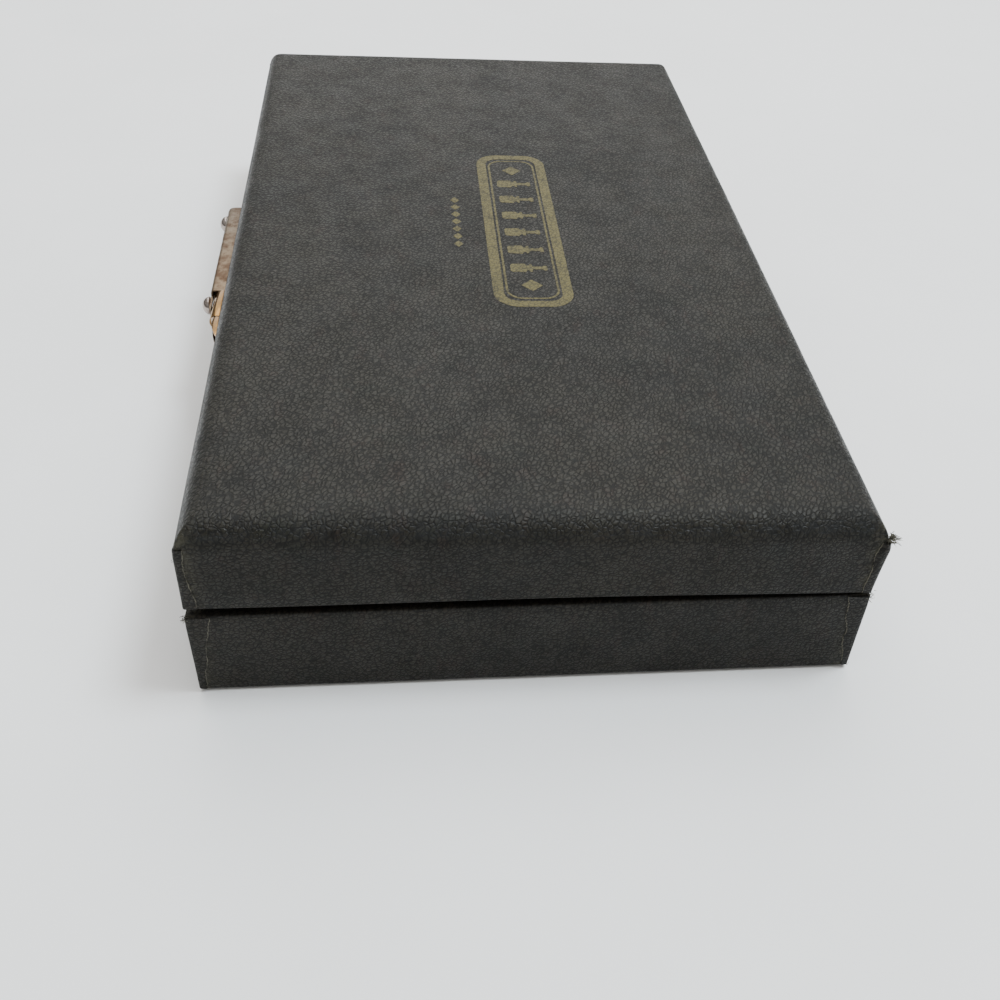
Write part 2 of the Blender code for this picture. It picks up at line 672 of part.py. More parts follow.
def build_latch(mats, lid_axis, flap_axis):
    half = LATCH_LENGTH / 2
    x0, x1 = LATCH_CENTRE_X - half, LATCH_CENTRE_X + half
    knuckle_low, knuckle_high = LATCH_KNUCKLE

    plate_section = latch_section(hinge_plate_path(), LATCH_PLATE_SHEET)
    bm = extrude_x(plate_section, x0 + 0.6 * MM, LATCH_CENTRE_X + LATCH_EAR_END)
    plate = add_object("latch_hinge_plate", bm, mats["gilt_brass"], lid_axis)
    beyond_leaf = -LATCH_AXIS_OUT + FIT + LATCH_PLATE_SHEET + 0.02 * MM
    cut(plate, latch_box((-half, knuckle_low), (beyond_leaf, 2 * MM), (-2 * MM, 2 * MM)))
    cut(plate, ear_tool())
    slot = (knuckle_high, knuckle_high + LATCH_EAR_SLOT)
    cut(plate, latch_box(slot, (-0.5 * MM, 2 * MM), (-0.6 * MM, 2 * MM)))
    drill_nails(plate, "lid", side=-1)

    y, z = latch_point(0, 0)
    low, high = LATCH_PIN_INSET - half, knuckle_high - 0.3 * MM
    profile = [(low, LATCH_PIN_RADIUS * 0.6), (low + 0.2 * MM, LATCH_PIN_RADIUS)]
    profile += [(high - 0.2 * MM, LATCH_PIN_RADIUS), (high, LATCH_PIN_RADIUS * 0.6)]
    pin = turned(profile, (LATCH_CENTRE_X, y, z), "x", 10)
    add_object("latch_pin", pin, mats["nickel"], lid_axis)

    bm = extrude_x(latch_section(flap_path(), LATCH_SHEET), x0, x1)
    flap = add_object("latch_flap", bm, mats["worn_brass"], flap_axis)
    window = (knuckle_low - KNUCKLE_WINDOW_GAP, half + 1 * MM)
    cut(flap, latch_box(window, (-2 * MM, 3 * MM), (KNUCKLE_WINDOW_FOOT, 2 * MM)))
    cut(flap, latch_box(window, (-2 * MM, 1 * MM), (-1 * MM, 1 * MM)))
    cut(flap, flap_outline_tool())
    corners = bmesh.new()
    flap_corner_tool(-1, corners)
    flap_corner_tool(1, corners)
    cut(flap, corners)
    holes = bmesh.new()
    rivet_hole(-1, holes)
    rivet_hole(1, holes)
    cut(flap, holes)

    clip_face = FLAP_FACE - LATCH_SHEET - 0.05 * MM
    clip_path = [
        (clip_face, -0.15 * MM),
        (clip_face, -7.2 * MM),
        (-0.05 * MM, -10.2 * MM),
        (0.45 * MM, -11.0 * MM),
    ]
    section = latch_section(clip_path, -CLIP_SHEET)
    nose_x, strip_x = CLIP_HALF_X
    bm = extrude_x(section, LATCH_CENTRE_X - strip_x, LATCH_CENTRE_X + strip_x)
    clip = add_object("latch_spring_clip", bm, mats["spring_steel"], flap_axis)
    holes = bmesh.new()
    rivet_hole(-1, holes)
    rivet_hole(1, holes)
    cut(clip, holes)
    sides = bmesh.new()
    latch_box((-half, -nose_x), (-2 * MM, 3 * MM), (-12 * MM, -2.2 * MM), sides)
    latch_box((nose_x, half), (-2 * MM, 3 * MM), (-12 * MM, -2.2 * MM), sides)
    cut(clip, sides)

    for name, side in (("latch_rivet_far", -1), ("latch_rivet_near", 1)):
        add_rivet(name, side, mats["nickel"], flap_axis)
    build_keeper(mats)


def add_rivet(name, side, material, flap_axis):
    """Dome-headed rivet through the flap and its spring clip."""
    y, z = latch_point(FLAP_FACE, RIVET_Z)
    shank_end = LATCH_SHEET + CLIP_SHEET + 0.05 * MM
    profile = [(shank_end, 0.3 * MM), (-0.05 * MM, 0.3 * MM)]
    for step in range(5):
        angle = math.radians(80) * step / 4
        along = -0.05 * MM - RIVET_HEIGHT * math.sin(angle)
        profile.append((along, RIVET_RADIUS * math.cos(angle)))
    centre = (LATCH_CENTRE_X + side * RIVET_X, y, z)
    bm = turned(profile, centre, "y", 12)
    add_object(name, bm, material, flap_axis)


def build_keeper(mats):
    """Plate on the base wall with a bead for the spring clip to snap over."""
    wall = CASE_WIDTH / 2 + FIT
    face = wall + KEEPER_SHEET
    low, high = KEEPER_Z
    section = [(wall, low), (face, low)]
    section += arc((face, KEEPER_BEAD_Z), KEEPER_BEAD_RADIUS, -90, 90, 8)
    section += [(face, high), (wall, high)]
    section = [(-out, z) for out, z in section]
    x0 = LATCH_CENTRE_X - KEEPER_HALF_X
    x1 = LATCH_CENTRE_X + KEEPER_HALF_X
    keeper = add_object("keeper_plate", extrude_x(section, x0, x1), mats["gilt_brass"])
    drill_nails(keeper, "base", side=-1)


# ---- Drivers ----
def slotted_blade(width, shank, start_x, tip_x, y):
    """Round shank, forged flat and ground to a straight tip."""
    flat_length = 6 * width
    tip_thickness = max(0.25 * width, 0.25 * MM)
    stations = [
        (start_x, shank, shank),
        (tip_x - flat_length - 2 * MM, shank, shank),
        (tip_x - flat_length, max(width / 2, shank) * 1.05, shank * 0.7),
        (tip_x - 0.5 * flat_length, width / 2 * 1.1, tip_thickness * 0.9),
        (tip_x, width / 2, tip_thickness / 2),
    ]
    loops = []
    for index, (x, half_y, half_z) in enumerate(stations):
        square = 0.0 if index < 2 else min(1.0, (index - 1) / 3)
        loop = []
        for step in range(12):
            angle = 2 * math.pi * (step + 0.5) / 12
            c, s = math.cos(angle), math.sin(angle)
            stretch = 1 / max(abs(c), abs(s))
            c *= 1 + square * (stretch - 1)
            s *= 1 + square * (stretch - 1)
            loop.append((x, y + half_y * c, DRIVER_AXIS_Z + half_z * s))
        loops.append(loop)
    return join_loops(loops)


def cross_blade(width, shank, start_x, tip_x, y):
    """Round shank with four flutes running out to a blunt cross point."""
    point_length = 2.6 * shank
    stations = [
        (start_x, shank, 1.0),
        (tip_x - point_length - 1.5 * MM, shank, 1.0),
        (tip_x - point_length, shank, 0.72),
        (tip_x - 0.3 * point_length, shank * 0.62, 0.5),
        (tip_x, width * 0.45, 0.62),
    ]
    loops = []
    for x, radius, valley in stations:
        loop = []
        for step in range(16):
            angle = 2 * math.pi * step / 16
            reach = radius * (valley if step % 4 == 2 else 1.0 if step % 4 == 0 else (1 + valley) / 2)
            loop.append((x, y + reach * math.cos(angle), DRIVER_AXIS_Z + reach * math.sin(angle)))
        loops.append(loop)
    return join_loops(loops)


def build_driver(index, mats):
    kind, width, shank, tip_x = DRIVERS[index]
    number = index + 1
    y = driver_y(index)
    centre = (0, y, DRIVER_AXIS_Z)
    lift = add_empty(f"driver_{number}_lift", centre)
    spin = add_empty(f"driver_{number}_cap_axis", centre, lift)

    cap_seat = CAP_END_X + CAP_LENGTH
    stud_end = cap_seat + CAP_STUD_LENGTH
    cap_profile = [
        (stud_end, 1.1 * MM),
        (cap_seat, 1.1 * MM),
        (cap_seat, 2.2 * MM),
        (cap_seat - 1.2 * MM, 2.2 * MM),
        (cap_seat - 2.0 * MM, 3.5 * MM),
        (CAP_END_X + 0.8 * MM, 3.6 * MM),
        (CAP_END_X, 3.1 * MM),
        (CAP_END_X + 0.6 * MM, 1.4 * MM),
    ]
    bm = turned(cap_profile, centre, "x", ROUND_STEPS)
    add_object(f"driver_{number}_cap", bm, mats["handle_metal"], spin)

    start = cap_seat + 0.2 * MM
    end = cap_seat + HANDLE_LENGTH
    nose = end - NOSE_LENGTH
    handle_profile = [
        (stud_end + 0.3 * MM, 1.3 * MM),
        (start, 1.3 * MM),
        (start, 2.6 * MM),
        (start + 1.0 * MM, HANDLE_RADIUS),
        (start + 34 * MM, HANDLE_RADIUS),
        (start + 35 * MM, 3.0 * MM),
        (start + 40 * MM, 2.8 * MM),
        (start + 42 * MM, 3.3 * MM),
        (nose, 3.3 * MM),
        (nose, NOSE_RADIUS),
        (end - 0.5 * MM, NOSE_RADIUS),
        (end, NOSE_RADIUS - 0.4 * MM),
        (end, shank + FIT),
        (end - BLADE_IN_HANDLE - 0.3 * MM, shank + FIT),
    ]
    bm = turned(handle_profile, centre, "x", ROUND_STEPS)
    add_object(f"driver_{number}_handle", bm, mats["handle_metal"], lift)

    inner = NOSE_RADIUS + FIT
    ring_start = nose + 0.2 * MM
    ring_profile = [
        (ring_start, inner),
        (ring_start + RING_LENGTH, inner),
        (ring_start + RING_LENGTH, inner + RING_WALL),
        (ring_start, inner + RING_WALL),
    ]
    bm = turned(ring_profile, centre, "x", ROUND_STEPS, closed=True)
    add_object(f"driver_{number}_ring", bm, mats[RING_COLOURS[index][0]], lift)

    make_blade = slotted_blade if kind == "slotted" else cross_blade
    bm = make_blade(width, shank, end - BLADE_IN_HANDLE, tip_x, y)
    add_object(f"driver_{number}_blade", bm, mats["blade_steel"], lift)


def build():
    clear_scene()
    mats = make_materials()
    hinge_axis = (0, CASE_WIDTH / 2 + HINGE_AXIS_OUT, HINGE_AXIS_Z)
    lid_axis = add_empty("lid_axis", hinge_axis)
    flap_axis = add_empty("latch_flap_axis", (LATCH_CENTRE_X, *latch_point(0, 0)), lid_axis)
    build_base(mats)
    build_tray(mats)
    build_lid(mats, lid_axis)
    build_hinges(mats, lid_axis)
    build_latch(mats, lid_axis, flap_axis)
    build_nails(mats, lid_axis)
    for index in range(len(DRIVERS)):
        build_driver(index, mats)
    lid_axis.rotation_euler.x = -LID_REST_ANGLE
    bpy.context.view_layer.update()


build()
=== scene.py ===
"""Looks of the precision screwdriver set: a worn leatherette case, its latch, and the drivers inside.

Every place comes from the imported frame, in metres. The lid's own pieces are drawn with the lid
shut and then turned about the hinge pins, because the real lid rests slightly ajar.
"""

import json
import math
import random

import bmesh
import bpy
from mathutils import Matrix, Vector, noise

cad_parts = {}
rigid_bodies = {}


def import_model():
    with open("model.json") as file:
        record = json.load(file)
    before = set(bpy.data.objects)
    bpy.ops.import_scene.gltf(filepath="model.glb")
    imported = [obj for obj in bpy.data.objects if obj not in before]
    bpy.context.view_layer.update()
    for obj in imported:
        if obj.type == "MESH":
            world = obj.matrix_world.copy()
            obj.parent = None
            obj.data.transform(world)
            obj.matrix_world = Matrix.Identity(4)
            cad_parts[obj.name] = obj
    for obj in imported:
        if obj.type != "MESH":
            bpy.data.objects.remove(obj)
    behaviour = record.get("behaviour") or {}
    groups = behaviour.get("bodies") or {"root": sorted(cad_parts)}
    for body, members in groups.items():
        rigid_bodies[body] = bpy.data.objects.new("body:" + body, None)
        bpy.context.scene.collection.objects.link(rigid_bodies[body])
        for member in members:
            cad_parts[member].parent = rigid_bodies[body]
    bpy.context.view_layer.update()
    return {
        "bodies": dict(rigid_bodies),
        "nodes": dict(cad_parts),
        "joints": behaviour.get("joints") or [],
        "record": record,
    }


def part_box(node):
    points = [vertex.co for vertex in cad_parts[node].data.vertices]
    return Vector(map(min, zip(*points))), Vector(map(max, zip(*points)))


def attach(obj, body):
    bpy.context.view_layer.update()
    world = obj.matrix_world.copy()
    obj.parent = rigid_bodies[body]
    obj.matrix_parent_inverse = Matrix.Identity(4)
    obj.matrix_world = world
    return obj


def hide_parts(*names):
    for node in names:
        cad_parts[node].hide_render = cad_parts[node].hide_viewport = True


MM = 0.001
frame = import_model()
record = frame["record"]
nodes = frame["nodes"]

# ---- Sizes read from the frame ----
skin_low, skin_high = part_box("base_covering")
CASE_X, CASE_Y = skin_high[0], skin_high[1]
BASE_TOP = skin_high[2]
COVERING_FOOT = skin_low[2]
JOINTS = {joint["name"]: joint for joint in record["behaviour"]["joints"]}
HINGE_AXIS = Vector(JOINTS["lid_open"]["pos_m"])

# ---- Sizes of the lid as drawn shut ----
LID_REST_ANGLE = math.radians(1.4)
LID_BOTTOM = 14.4 * MM
LID_TOP = 27.0 * MM
LID_EDGE_RADIUS = 3.8 * MM
PLAN_RADIUS = 0.4 * MM
SKIN = 0.5 * MM
TURN_IN = 4.6 * MM
TURN_IN_SHEET = 0.35 * MM
LID_TURN_IN_TOP = 17.6 * MM
BASE_TURN_IN_BOTTOM = 12.0 * MM
SKIN_STEP = 1.3 * MM
SKIN_SWELL = 0.07 * MM
EDGE_DENT = 0.09 * MM
FOIL_RISE = 0.02 * MM
FOLD_RISE = 0.13 * MM
RIM_DROOP = 1.1 * MM
LATCH_PIN = (-4.1 * MM, -(CASE_Y + 2.0 * MM), 16.6 * MM)
RIVET_X = 14.2 * MM
RIVET_OUT = 1.9 * MM
RIVET_DROP = 0.75 * MM
PAD_HALF_X, PAD_HALF_Y = 72.3 * MM, 38.8 * MM
PAD_HEIGHTS = (22.75 * MM, 24.0 * MM)
HANDLE_RADIUS = 3.6 * MM
KNURL_TEETH = 18
KNURL_PITCH = 1.2 * MM
KNURL_DEPTH = 0.22 * MM
FLUTES = 36
FLUTE_DEPTH = 0.10 * MM
DRIVER_PITCH = 12.4 * MM
DRIVER_AXIS_Z = 9.0 * MM
# kind of tip, tip width, shank radius, distance of the tip from the case's centre
DRIVERS = (
    ("slotted", 1.0 * MM, 0.70 * MM, 50.0 * MM),
    ("slotted", 1.4 * MM, 0.80 * MM, 53.0 * MM),
    ("slotted", 2.0 * MM, 1.00 * MM, 57.0 * MM),
    ("slotted", 2.8 * MM, 1.30 * MM, 61.0 * MM),
    ("cross", 0.5 * MM, 0.90 * MM, 55.0 * MM),
    ("cross", 0.8 * MM, 1.25 * MM, 60.0 * MM),
)
RINGS = (
    ("ring_red", (0.42, 0.015, 0.018)),
    ("ring_yellow", (0.62, 0.36, 0.02)),
    ("ring_green", (0.02, 0.19, 0.06)),
    ("ring_blue", (0.02, 0.07, 0.32)),
    ("ring_black", (0.012, 0.012, 0.013)),
    ("ring_white", (0.66, 0.64, 0.58)),
)
ORNAMENT = (1.0 * MM, 4.0 * MM)
CORNER_STEPS = 6


# ---- Camera, floor and light ----
CAMERA_PLACE = (0.18061, -0.01538, 0.12231)
CAMERA_RIGHT = (0.07386, 0.99683, 0.02972)
CAMERA_UP = (-0.65665, 0.02618, 0.75374)
CAMERA_LENS = 41.65


def add_camera():
    data = bpy.data.cameras.new("camera")
    data.lens = CAMERA_LENS
    data.sensor_width = 36.0
    data.clip_start = 0.005
    camera = bpy.data.objects.new("camera", data)
    bpy.context.scene.collection.objects.link(camera)
    right = Vector(CAMERA_RIGHT).normalized()
    back = right.cross(Vector(CAMERA_UP)).normalized()
    up = back.cross(right)
    turn = Matrix((right, up, back)).transposed().to_4x4()
    camera.matrix_world = Matrix.Translation(CAMERA_PLACE) @ turn
    bpy.context.scene.camera = camera


def add_area_light(name, place, target, size, power, colour):
    data = bpy.data.lights.new(name, "AREA")
    data.shape = "DISK"
    data.size = size
    data.energy = power
    data.color = colour
    light = bpy.data.objects.new(name, data)
    light.location = place
    direction = Vector(target) - Vector(place)
    light.rotation_euler = direction.to_track_quat("-Z", "Y").to_euler()
    bpy.context.scene.collection.objects.link(light)


def add_lights():
    add_area_light("overhead_softbox", (-0.30, 0.15, 1.50), (0, 0, 0), 2.4, 24.5, (1.0, 1.0, 1.0))
    add_area_light("far_softbox", (-1.15, 0.05, 0.85), (0, 0, 0), 1.8, 13.5, (1.0, 1.0, 0.99))
    add_area_light("high_window", (0.04, 0.42, 1.04), (0.05, 0, 0), 0.34, 12.0, (0.82, 0.92, 1.0))
    world = bpy.data.worlds.new("soft_room")
    world.use_nodes = True
    tree = world.node_tree
    background = tree.nodes["Background"]
    direction = tree.nodes.new("ShaderNodeTexCoord")
    parts = tree.nodes.new("ShaderNodeSeparateXYZ")
    height = tree.nodes.new("ShaderNodeMapRange")
    height.interpolation_type = "SMOOTHSTEP"
    height.inputs["From Min"].default_value = -0.05
    height.inputs["From Max"].default_value = 0.65
    height.inputs["To Min"].default_value = 0.18
    height.inputs["To Max"].default_value = 0.56
    tree.links.new(direction.outputs["Generated"], parts.inputs["Vector"])
    tree.links.new(parts.outputs["Z"], height.inputs["Value"])
    tree.links.new(height.outputs["Result"], background.inputs["Strength"])
    background.inputs["Color"].default_value = (1.0, 1.0, 0.98, 1.0)
    bpy.context.scene.world = world


# ---- Material helper ----
class Shader:
    """A Principled material with short calls for the nodes that feed it."""

    def __init__(self, name, roughness=0.5, metallic=0.0, **values):
        self.material = bpy.data.materials.new(name)
        self.material.use_nodes = True
        self.tree = self.material.node_tree
        self.bsdf = self.tree.nodes["Principled BSDF"]
        self.set("Roughness", roughness)
        self.set("Metallic", metallic)
        for key, value in values.items():
            self.set(key.replace("_", " "), value)
        self.place = self.tree.nodes.new("ShaderNodeTexCoord").outputs["Object"]

    def put(self, socket, value):
        if hasattr(value, "is_linked"):
            self.tree.links.new(value, socket)
        elif hasattr(value, "__len__") and len(value) == 3 and socket.type == "RGBA":
            socket.default_value = (*value, 1.0)
        else:
            socket.default_value = value

    def set(self, name, value):
        self.put(self.bsdf.inputs[name], value)

    def scaled(self, factors, turn=(0, 0, 0)):
        node = self.tree.nodes.new("ShaderNodeMapping")
        node.inputs["Scale"].default_value = factors
        node.inputs["Rotation"].default_value = turn
        self.put(node.inputs["Vector"], self.place)
        return node.outputs["Vector"]

    def noise(self, size, detail=2.0, rough=0.5, place=None, warp=0.0):
        """Noise whose features are about size metres across."""
        node = self.tree.nodes.new("ShaderNodeTexNoise")
        self.put(node.inputs["Vector"], place or self.place)
        node.inputs["Scale"].default_value = 1.0 / size
        node.inputs["Detail"].default_value = detail
        node.inputs["Roughness"].default_value = rough
        node.inputs["Distortion"].default_value = warp
        return node.outputs["Fac"]

    def warped(self, size, amount, place=None):
        """The coordinates pushed about by a noise of that size, by amount metres."""
        node = self.tree.nodes.new("ShaderNodeTexNoise")
        self.put(node.inputs["Vector"], place or self.place)
        node.inputs["Scale"].default_value = 1.0 / size
        node.inputs["Detail"].default_value = 1.0
        centred = self.vector("SUBTRACT", node.outputs["Color"], (0.5, 0.5, 0.5))
        pushed = self.vector("MULTIPLY", centred, (amount, amount, amount))
        return self.vector("ADD", place or self.place, pushed)

    def vector(self, operation, a, b):
        node = self.tree.nodes.new("ShaderNodeVectorMath")
        node.operation = operation
        self.put(node.inputs[0], a)
        self.put(node.inputs[1], b)
        return node.outputs["Vector"]

    def cells(self, size, feature="DISTANCE_TO_EDGE", place=None):
        node = self.tree.nodes.new("ShaderNodeTexVoronoi")
        node.feature = feature
        self.put(node.inputs["Vector"], place or self.place)
        node.inputs["Scale"].default_value = 1.0 / size
        return node.outputs["Distance"]

    def math(self, operation, a, b=0.0, clamp=False):
        node = self.tree.nodes.new("ShaderNodeMath")
        node.operation = operation
        node.use_clamp = clamp
        self.put(node.inputs[0], a)
        self.put(node.inputs[1], b)
        return node.outputs["Value"]

    def span(self, value, low, high, out_low=0.0, out_high=1.0):
        """value mapped from low..high to out_low..out_high, smoothly and clamped."""
        node = self.tree.nodes.new("ShaderNodeMapRange")
        node.interpolation_type = "SMOOTHSTEP"
        self.put(node.inputs["Value"], value)
        node.inputs["From Min"].default_value = low
        node.inputs["From Max"].default_value = high
        node.inputs["To Min"].default_value = out_low
        node.inputs["To Max"].default_value = out_high
        return node.outputs["Result"]

    def mix(self, factor, a, b, blend="MIX"):
        node = self.tree.nodes.new("ShaderNodeMix")
        node.data_type = "RGBA"
        node.blend_type = blend
        self.put(node.inputs["Factor"], factor)
        self.put(node.inputs[6], a)
        self.put(node.inputs[7], b)
        return node.outputs[2]

    def attribute(self, name):
        node = self.tree.nodes.new("ShaderNodeAttribute")
        node.attribute_name = name
        return node.outputs["Fac"]

    def bump(self, height, distance, strength=1.0, normal=None):
        node = self.tree.nodes.new("ShaderNodeBump")
        node.inputs["Strength"].default_value = strength
        node.inputs["Distance"].default_value = distance
        self.put(node.inputs["Height"], height)
        if normal is not None:
            self.put(node.inputs["Normal"], normal)
        self.set("Normal", node.outputs["Normal"])
        return node.outputs["Normal"]


# ---- Materials ----
def leather_grain(s):
    """Small pebbles parted by a net of furrows, drawn out along one diagonal."""
    turned_place = s.scaled((1.0, 1.0, 1.0), (0, 0, math.radians(-60)))
    place = s.warped(0.9 * MM, 0.35 * MM, turned_place)
    stretched = s.vector("MULTIPLY", place, (1.0, 0.62, 1.0))
    ridges = s.noise(0.42 * MM, 3.0, 0.62, stretched, 0.4)
    pebbles = s.span(s.cells(0.55 * MM, "DISTANCE_TO_EDGE", stretched), 0.0, 0.24)
    grain = s.math("ADD", s.math("MULTIPLY", pebbles, 0.30), s.math("MULTIPLY", ridges, 0.70))
    height = s.math("ADD", grain, s.math("MULTIPLY", s.noise(0.13 * MM, 2.0, 0.6), 0.14))
    return grain, height


def leatherette(name):
    """Dark leathercloth, mottled brown and olive, rubbed along its edges and corners, with painted
    shade in the furrows of its grain and a painted bluish sheen along its top edges.
    """
    s = Shader(name, Specular_IOR_Level=0.18)
    grain, height = leather_grain(s)
    mottle = s.span(s.noise(7 * MM, 4.0, 0.62, warp=0.5), 0.36, 0.66)
    patch = s.span(s.noise(30 * MM, 3.0, 0.6), 0.40, 0.62)
    red = s.span(s.noise(4.5 * MM, 3.0, 0.7, s.scaled((1.0, 1.7, 1.0))), 0.52, 0.72)
    green = s.span(s.noise(5.5 * MM, 3.0, 0.7, s.scaled((1.4, 0.8, 1.0))), 0.52, 0.72)
    base = s.mix(mottle, (0.0100, 0.0094, 0.0074), (0.0165, 0.0150, 0.0112))
    base = s.mix(s.math("MULTIPLY", patch, 0.40), base, (0.0235, 0.0205, 0.0145))
    base = s.mix(s.math("MULTIPLY", red, 0.50), base, (0.0200, 0.0115, 0.0080))
    base = s.mix(s.math("MULTIPLY", green, 0.40), base, (0.0085, 0.0112, 0.0082))
    tops = s.mix(s.math("MULTIPLY", s.span(grain, 0.56, 0.76), 0.30), base, (0.0400, 0.0375, 0.0300))
    # Furrows between the pebbles painted near black: painted shade in the creases of the grain.
    colour = s.mix(s.span(grain, 0.34, 0.56, 0.72, 0.0), tops, (0.0030, 0.0029, 0.0027))

    edge = s.attribute("edge")
    # Along the bevel between top and walls, noisy patches are painted lighter and bluish: partly rubbed
    # wear, partly a painted sheen standing in for the highlight the bevel catches.
    rubbed = s.math("MULTIPLY", edge, s.span(s.noise(2.5 * MM, 3.0, 0.7), 0.38, 0.66))
    colour = s.mix(s.math("MULTIPLY", rubbed, 0.30), colour, (0.026, 0.029, 0.033))
    worn = s.math("MULTIPLY", s.attribute("wear"), s.span(s.noise(1.2 * MM, 3.0, 0.7), 0.36, 0.66))
    colour = s.mix(s.math("MULTIPLY", worn, 0.75), colour, (0.070, 0.066, 0.046))
    s.set("Base Color", colour)

    rough = s.span(grain, 0.40, 0.72, 0.62, 0.46)
    rough = s.math("ADD", rough, s.span(s.noise(5 * MM, 2.0), 0.3, 0.7, -0.04, 0.05))
    s.set("Roughness", s.math("SUBTRACT", rough, s.math("MULTIPLY", edge, 0.22)))
    s.bump(height, 0.17 * MM, 1.0)
    return s.material


def raw_edge(name):
    """Cut edge of the leathercloth: its cotton backing, pale and dirty."""
    s = Shader(name, 0.9)
    fibres = s.span(s.noise(0.25 * MM, 3.0, 0.7), 0.35, 0.65)
    s.set("Base Color", s.mix(fibres, (0.035, 0.032, 0.023), (0.150, 0.140, 0.105)))
    s.bump(fibres, 0.05 * MM, 0.8)
    return s.material


def gold_foil(name):
    """Hot-stamped gold foil, dulled, and rubbed through over the grain and in patches."""
    s = Shader(name, Specular_IOR_Level=0.22)
    grain, height = leather_grain(s)
    rubbed = s.span(s.noise(0.5 * MM, 4.0, 0.75), 0.56, 0.78, 0.0, 0.8)
    patches = s.span(s.noise(3.5 * MM, 3.0, 0.7), 0.45, 0.72, 0.0, 0.45)
    lost = s.math("ADD", rubbed, s.math("ADD", patches, s.span(grain, 0.36, 0.52, 0.55, 0.0)), True)
    s.set("Base Color", s.mix(lost, (0.098, 0.082, 0.027), (0.024, 0.022, 0.014)))
    s.set("Metallic", s.span(lost, 0.0, 1.0, 0.20, 0.0))
    s.set("Roughness", s.span(lost, 0.0, 1.0, 0.52, 0.66))
    s.bump(height, 0.10 * MM, 0.8)
    return s.material


def metal(name, colour, tarnish, roughness, amount=0.5, scratch=0.25):
    """Sheet or turned metal with tarnish in patches, handling marks and fine scratches."""
    s = Shader(name, metallic=1.0)
    cloud = s.span(s.noise(3.0 * MM, 4.0, 0.65), 0.38, 0.66)
    spots = s.span(s.noise(0.7 * MM, 3.0, 0.7), 0.56, 0.72)
    spots = s.math("MULTIPLY", spots, amount * 0.6)
    stain = s.math("ADD", s.math("MULTIPLY", cloud, amount), spots, True)
    s.set("Base Color", s.mix(stain, colour, tarnish))
    lines = s.noise(0.12 * MM, 2.0, 0.6, s.scaled((0.08, 1.0, 1.0)))
    rough = s.math("ADD", s.math("MULTIPLY", stain, 0.30), roughness)
    s.set("Roughness", s.math("ADD", rough, s.span(lines, 0.3, 0.7, -0.04, 0.07)))
    height = s.math("ADD", s.math("MULTIPLY", lines, scratch), s.math("MULTIPLY", stain, 0.4))
    s.bump(height, 0.012 * MM, 0.7)
    return s.material


def turned_steel(name, colour, roughness):
    """Ground or turned steel, its fine marks running round the axis along X."""
    s = Shader(name, metallic=1.0)
    marks = s.noise(0.06 * MM, 2.0, 0.6, s.scaled((1.0, 0.05, 0.05)))
    smear = s.noise(4 * MM, 3.0, 0.6)
    dark = tuple(value * 0.72 for value in colour)
    s.set("Base Color", s.mix(s.span(smear, 0.35, 0.7, 0.0, 0.5), colour, dark))
    s.set("Roughness", s.math("ADD", s.span(marks, 0.3, 0.7, roughness, roughness + 0.12), 0.0))
    s.bump(marks, 0.006 * MM, 0.5)
    return s.material


def flocking(name):
    """Short wine-red flock: soft, matt, brushed about in patches."""
    s = Shader(name, 0.95, Sheen_Weight=0.55, Sheen_Roughness=0.45, Specular_IOR_Level=0.15)
    s.set("Sheen Tint", (0.85, 0.35, 0.38))
    fibres = s.noise(0.14 * MM, 3.0, 0.75)
    lay = s.span(s.noise(7 * MM, 3.0, 0.6, warp=0.8), 0.38, 0.64)
    base = s.mix(lay, (0.105, 0.006, 0.014), (0.165, 0.014, 0.026))
    dust = s.span(s.noise(0.5 * MM, 2.0, 0.8), 0.70, 0.80)
    base = s.mix(s.span(fibres, 0.35, 0.65, 0.35, 0.0), base, (0.035, 0.002, 0.005))
    s.set("Base Color", s.mix(s.math("MULTIPLY", dust, 0.35), base, (0.40, 0.33, 0.30)))
    s.bump(fibres, 0.10 * MM, 0.9)
    return s.material


def satin(name):
    """Champagne satin: fine weave along X, soft lustre, faint age stains."""
    s = Shader(name, 0.42, Sheen_Weight=0.35, Sheen_Roughness=0.3, Anisotropic=0.5)
    warp_threads = s.noise(0.16 * MM, 1.0, 0.5, s.scaled((0.12, 1.0, 1.0)))
    weft_threads = s.noise(0.16 * MM, 1.0, 0.5, s.scaled((1.0, 0.12, 1.0)))
    weave = s.math("ADD", s.math("MULTIPLY", warp_threads, 0.7), s.math("MULTIPLY", weft_threads, 0.3))
    stain = s.span(s.noise(18 * MM, 4.0, 0.65), 0.45, 0.72)
    base = s.mix(s.span(weave, 0.35, 0.65), (0.50, 0.42, 0.29), (0.66, 0.58, 0.44))
    s.set("Base Color", s.mix(s.math("MULTIPLY", stain, 0.35), base, (0.42, 0.31, 0.18)))
    s.set("Roughness", s.span(weave, 0.3, 0.7, 0.36, 0.52))
    s.bump(weave, 0.03 * MM, 0.6)
    return s.material


def pulp_board(name):
    s = Shader(name, 0.9)
    fibres = s.noise(0.5 * MM, 4.0, 0.7, s.scaled((0.4, 1.0, 1.0)))
    s.set("Base Color", s.mix(s.span(fibres, 0.35, 0.65), (0.24, 0.17, 0.10), (0.40, 0.31, 0.20)))
    s.bump(fibres, 0.05 * MM, 0.8)
    return s.material


def ring_plastic(name, colour):
    """Glossy moulded plastic with light scuffs."""
    s = Shader(name, 0.3, Specular_IOR_Level=0.5)
    scuffs = s.span(s.noise(0.6 * MM, 4.0, 0.7, s.scaled((1.0, 0.3, 0.3))), 0.55, 0.75)
    faded = tuple(min(1.0, value * 0.8 + 0.06) for value in colour)
    s.set("Base Color", s.mix(s.math("MULTIPLY", scuffs, 0.6), colour, faded))
    s.set("Roughness", s.span(scuffs, 0.0, 1.0, 0.26, 0.48))
    s.bump(scuffs, 0.01 * MM, 0.5)
    return s.material


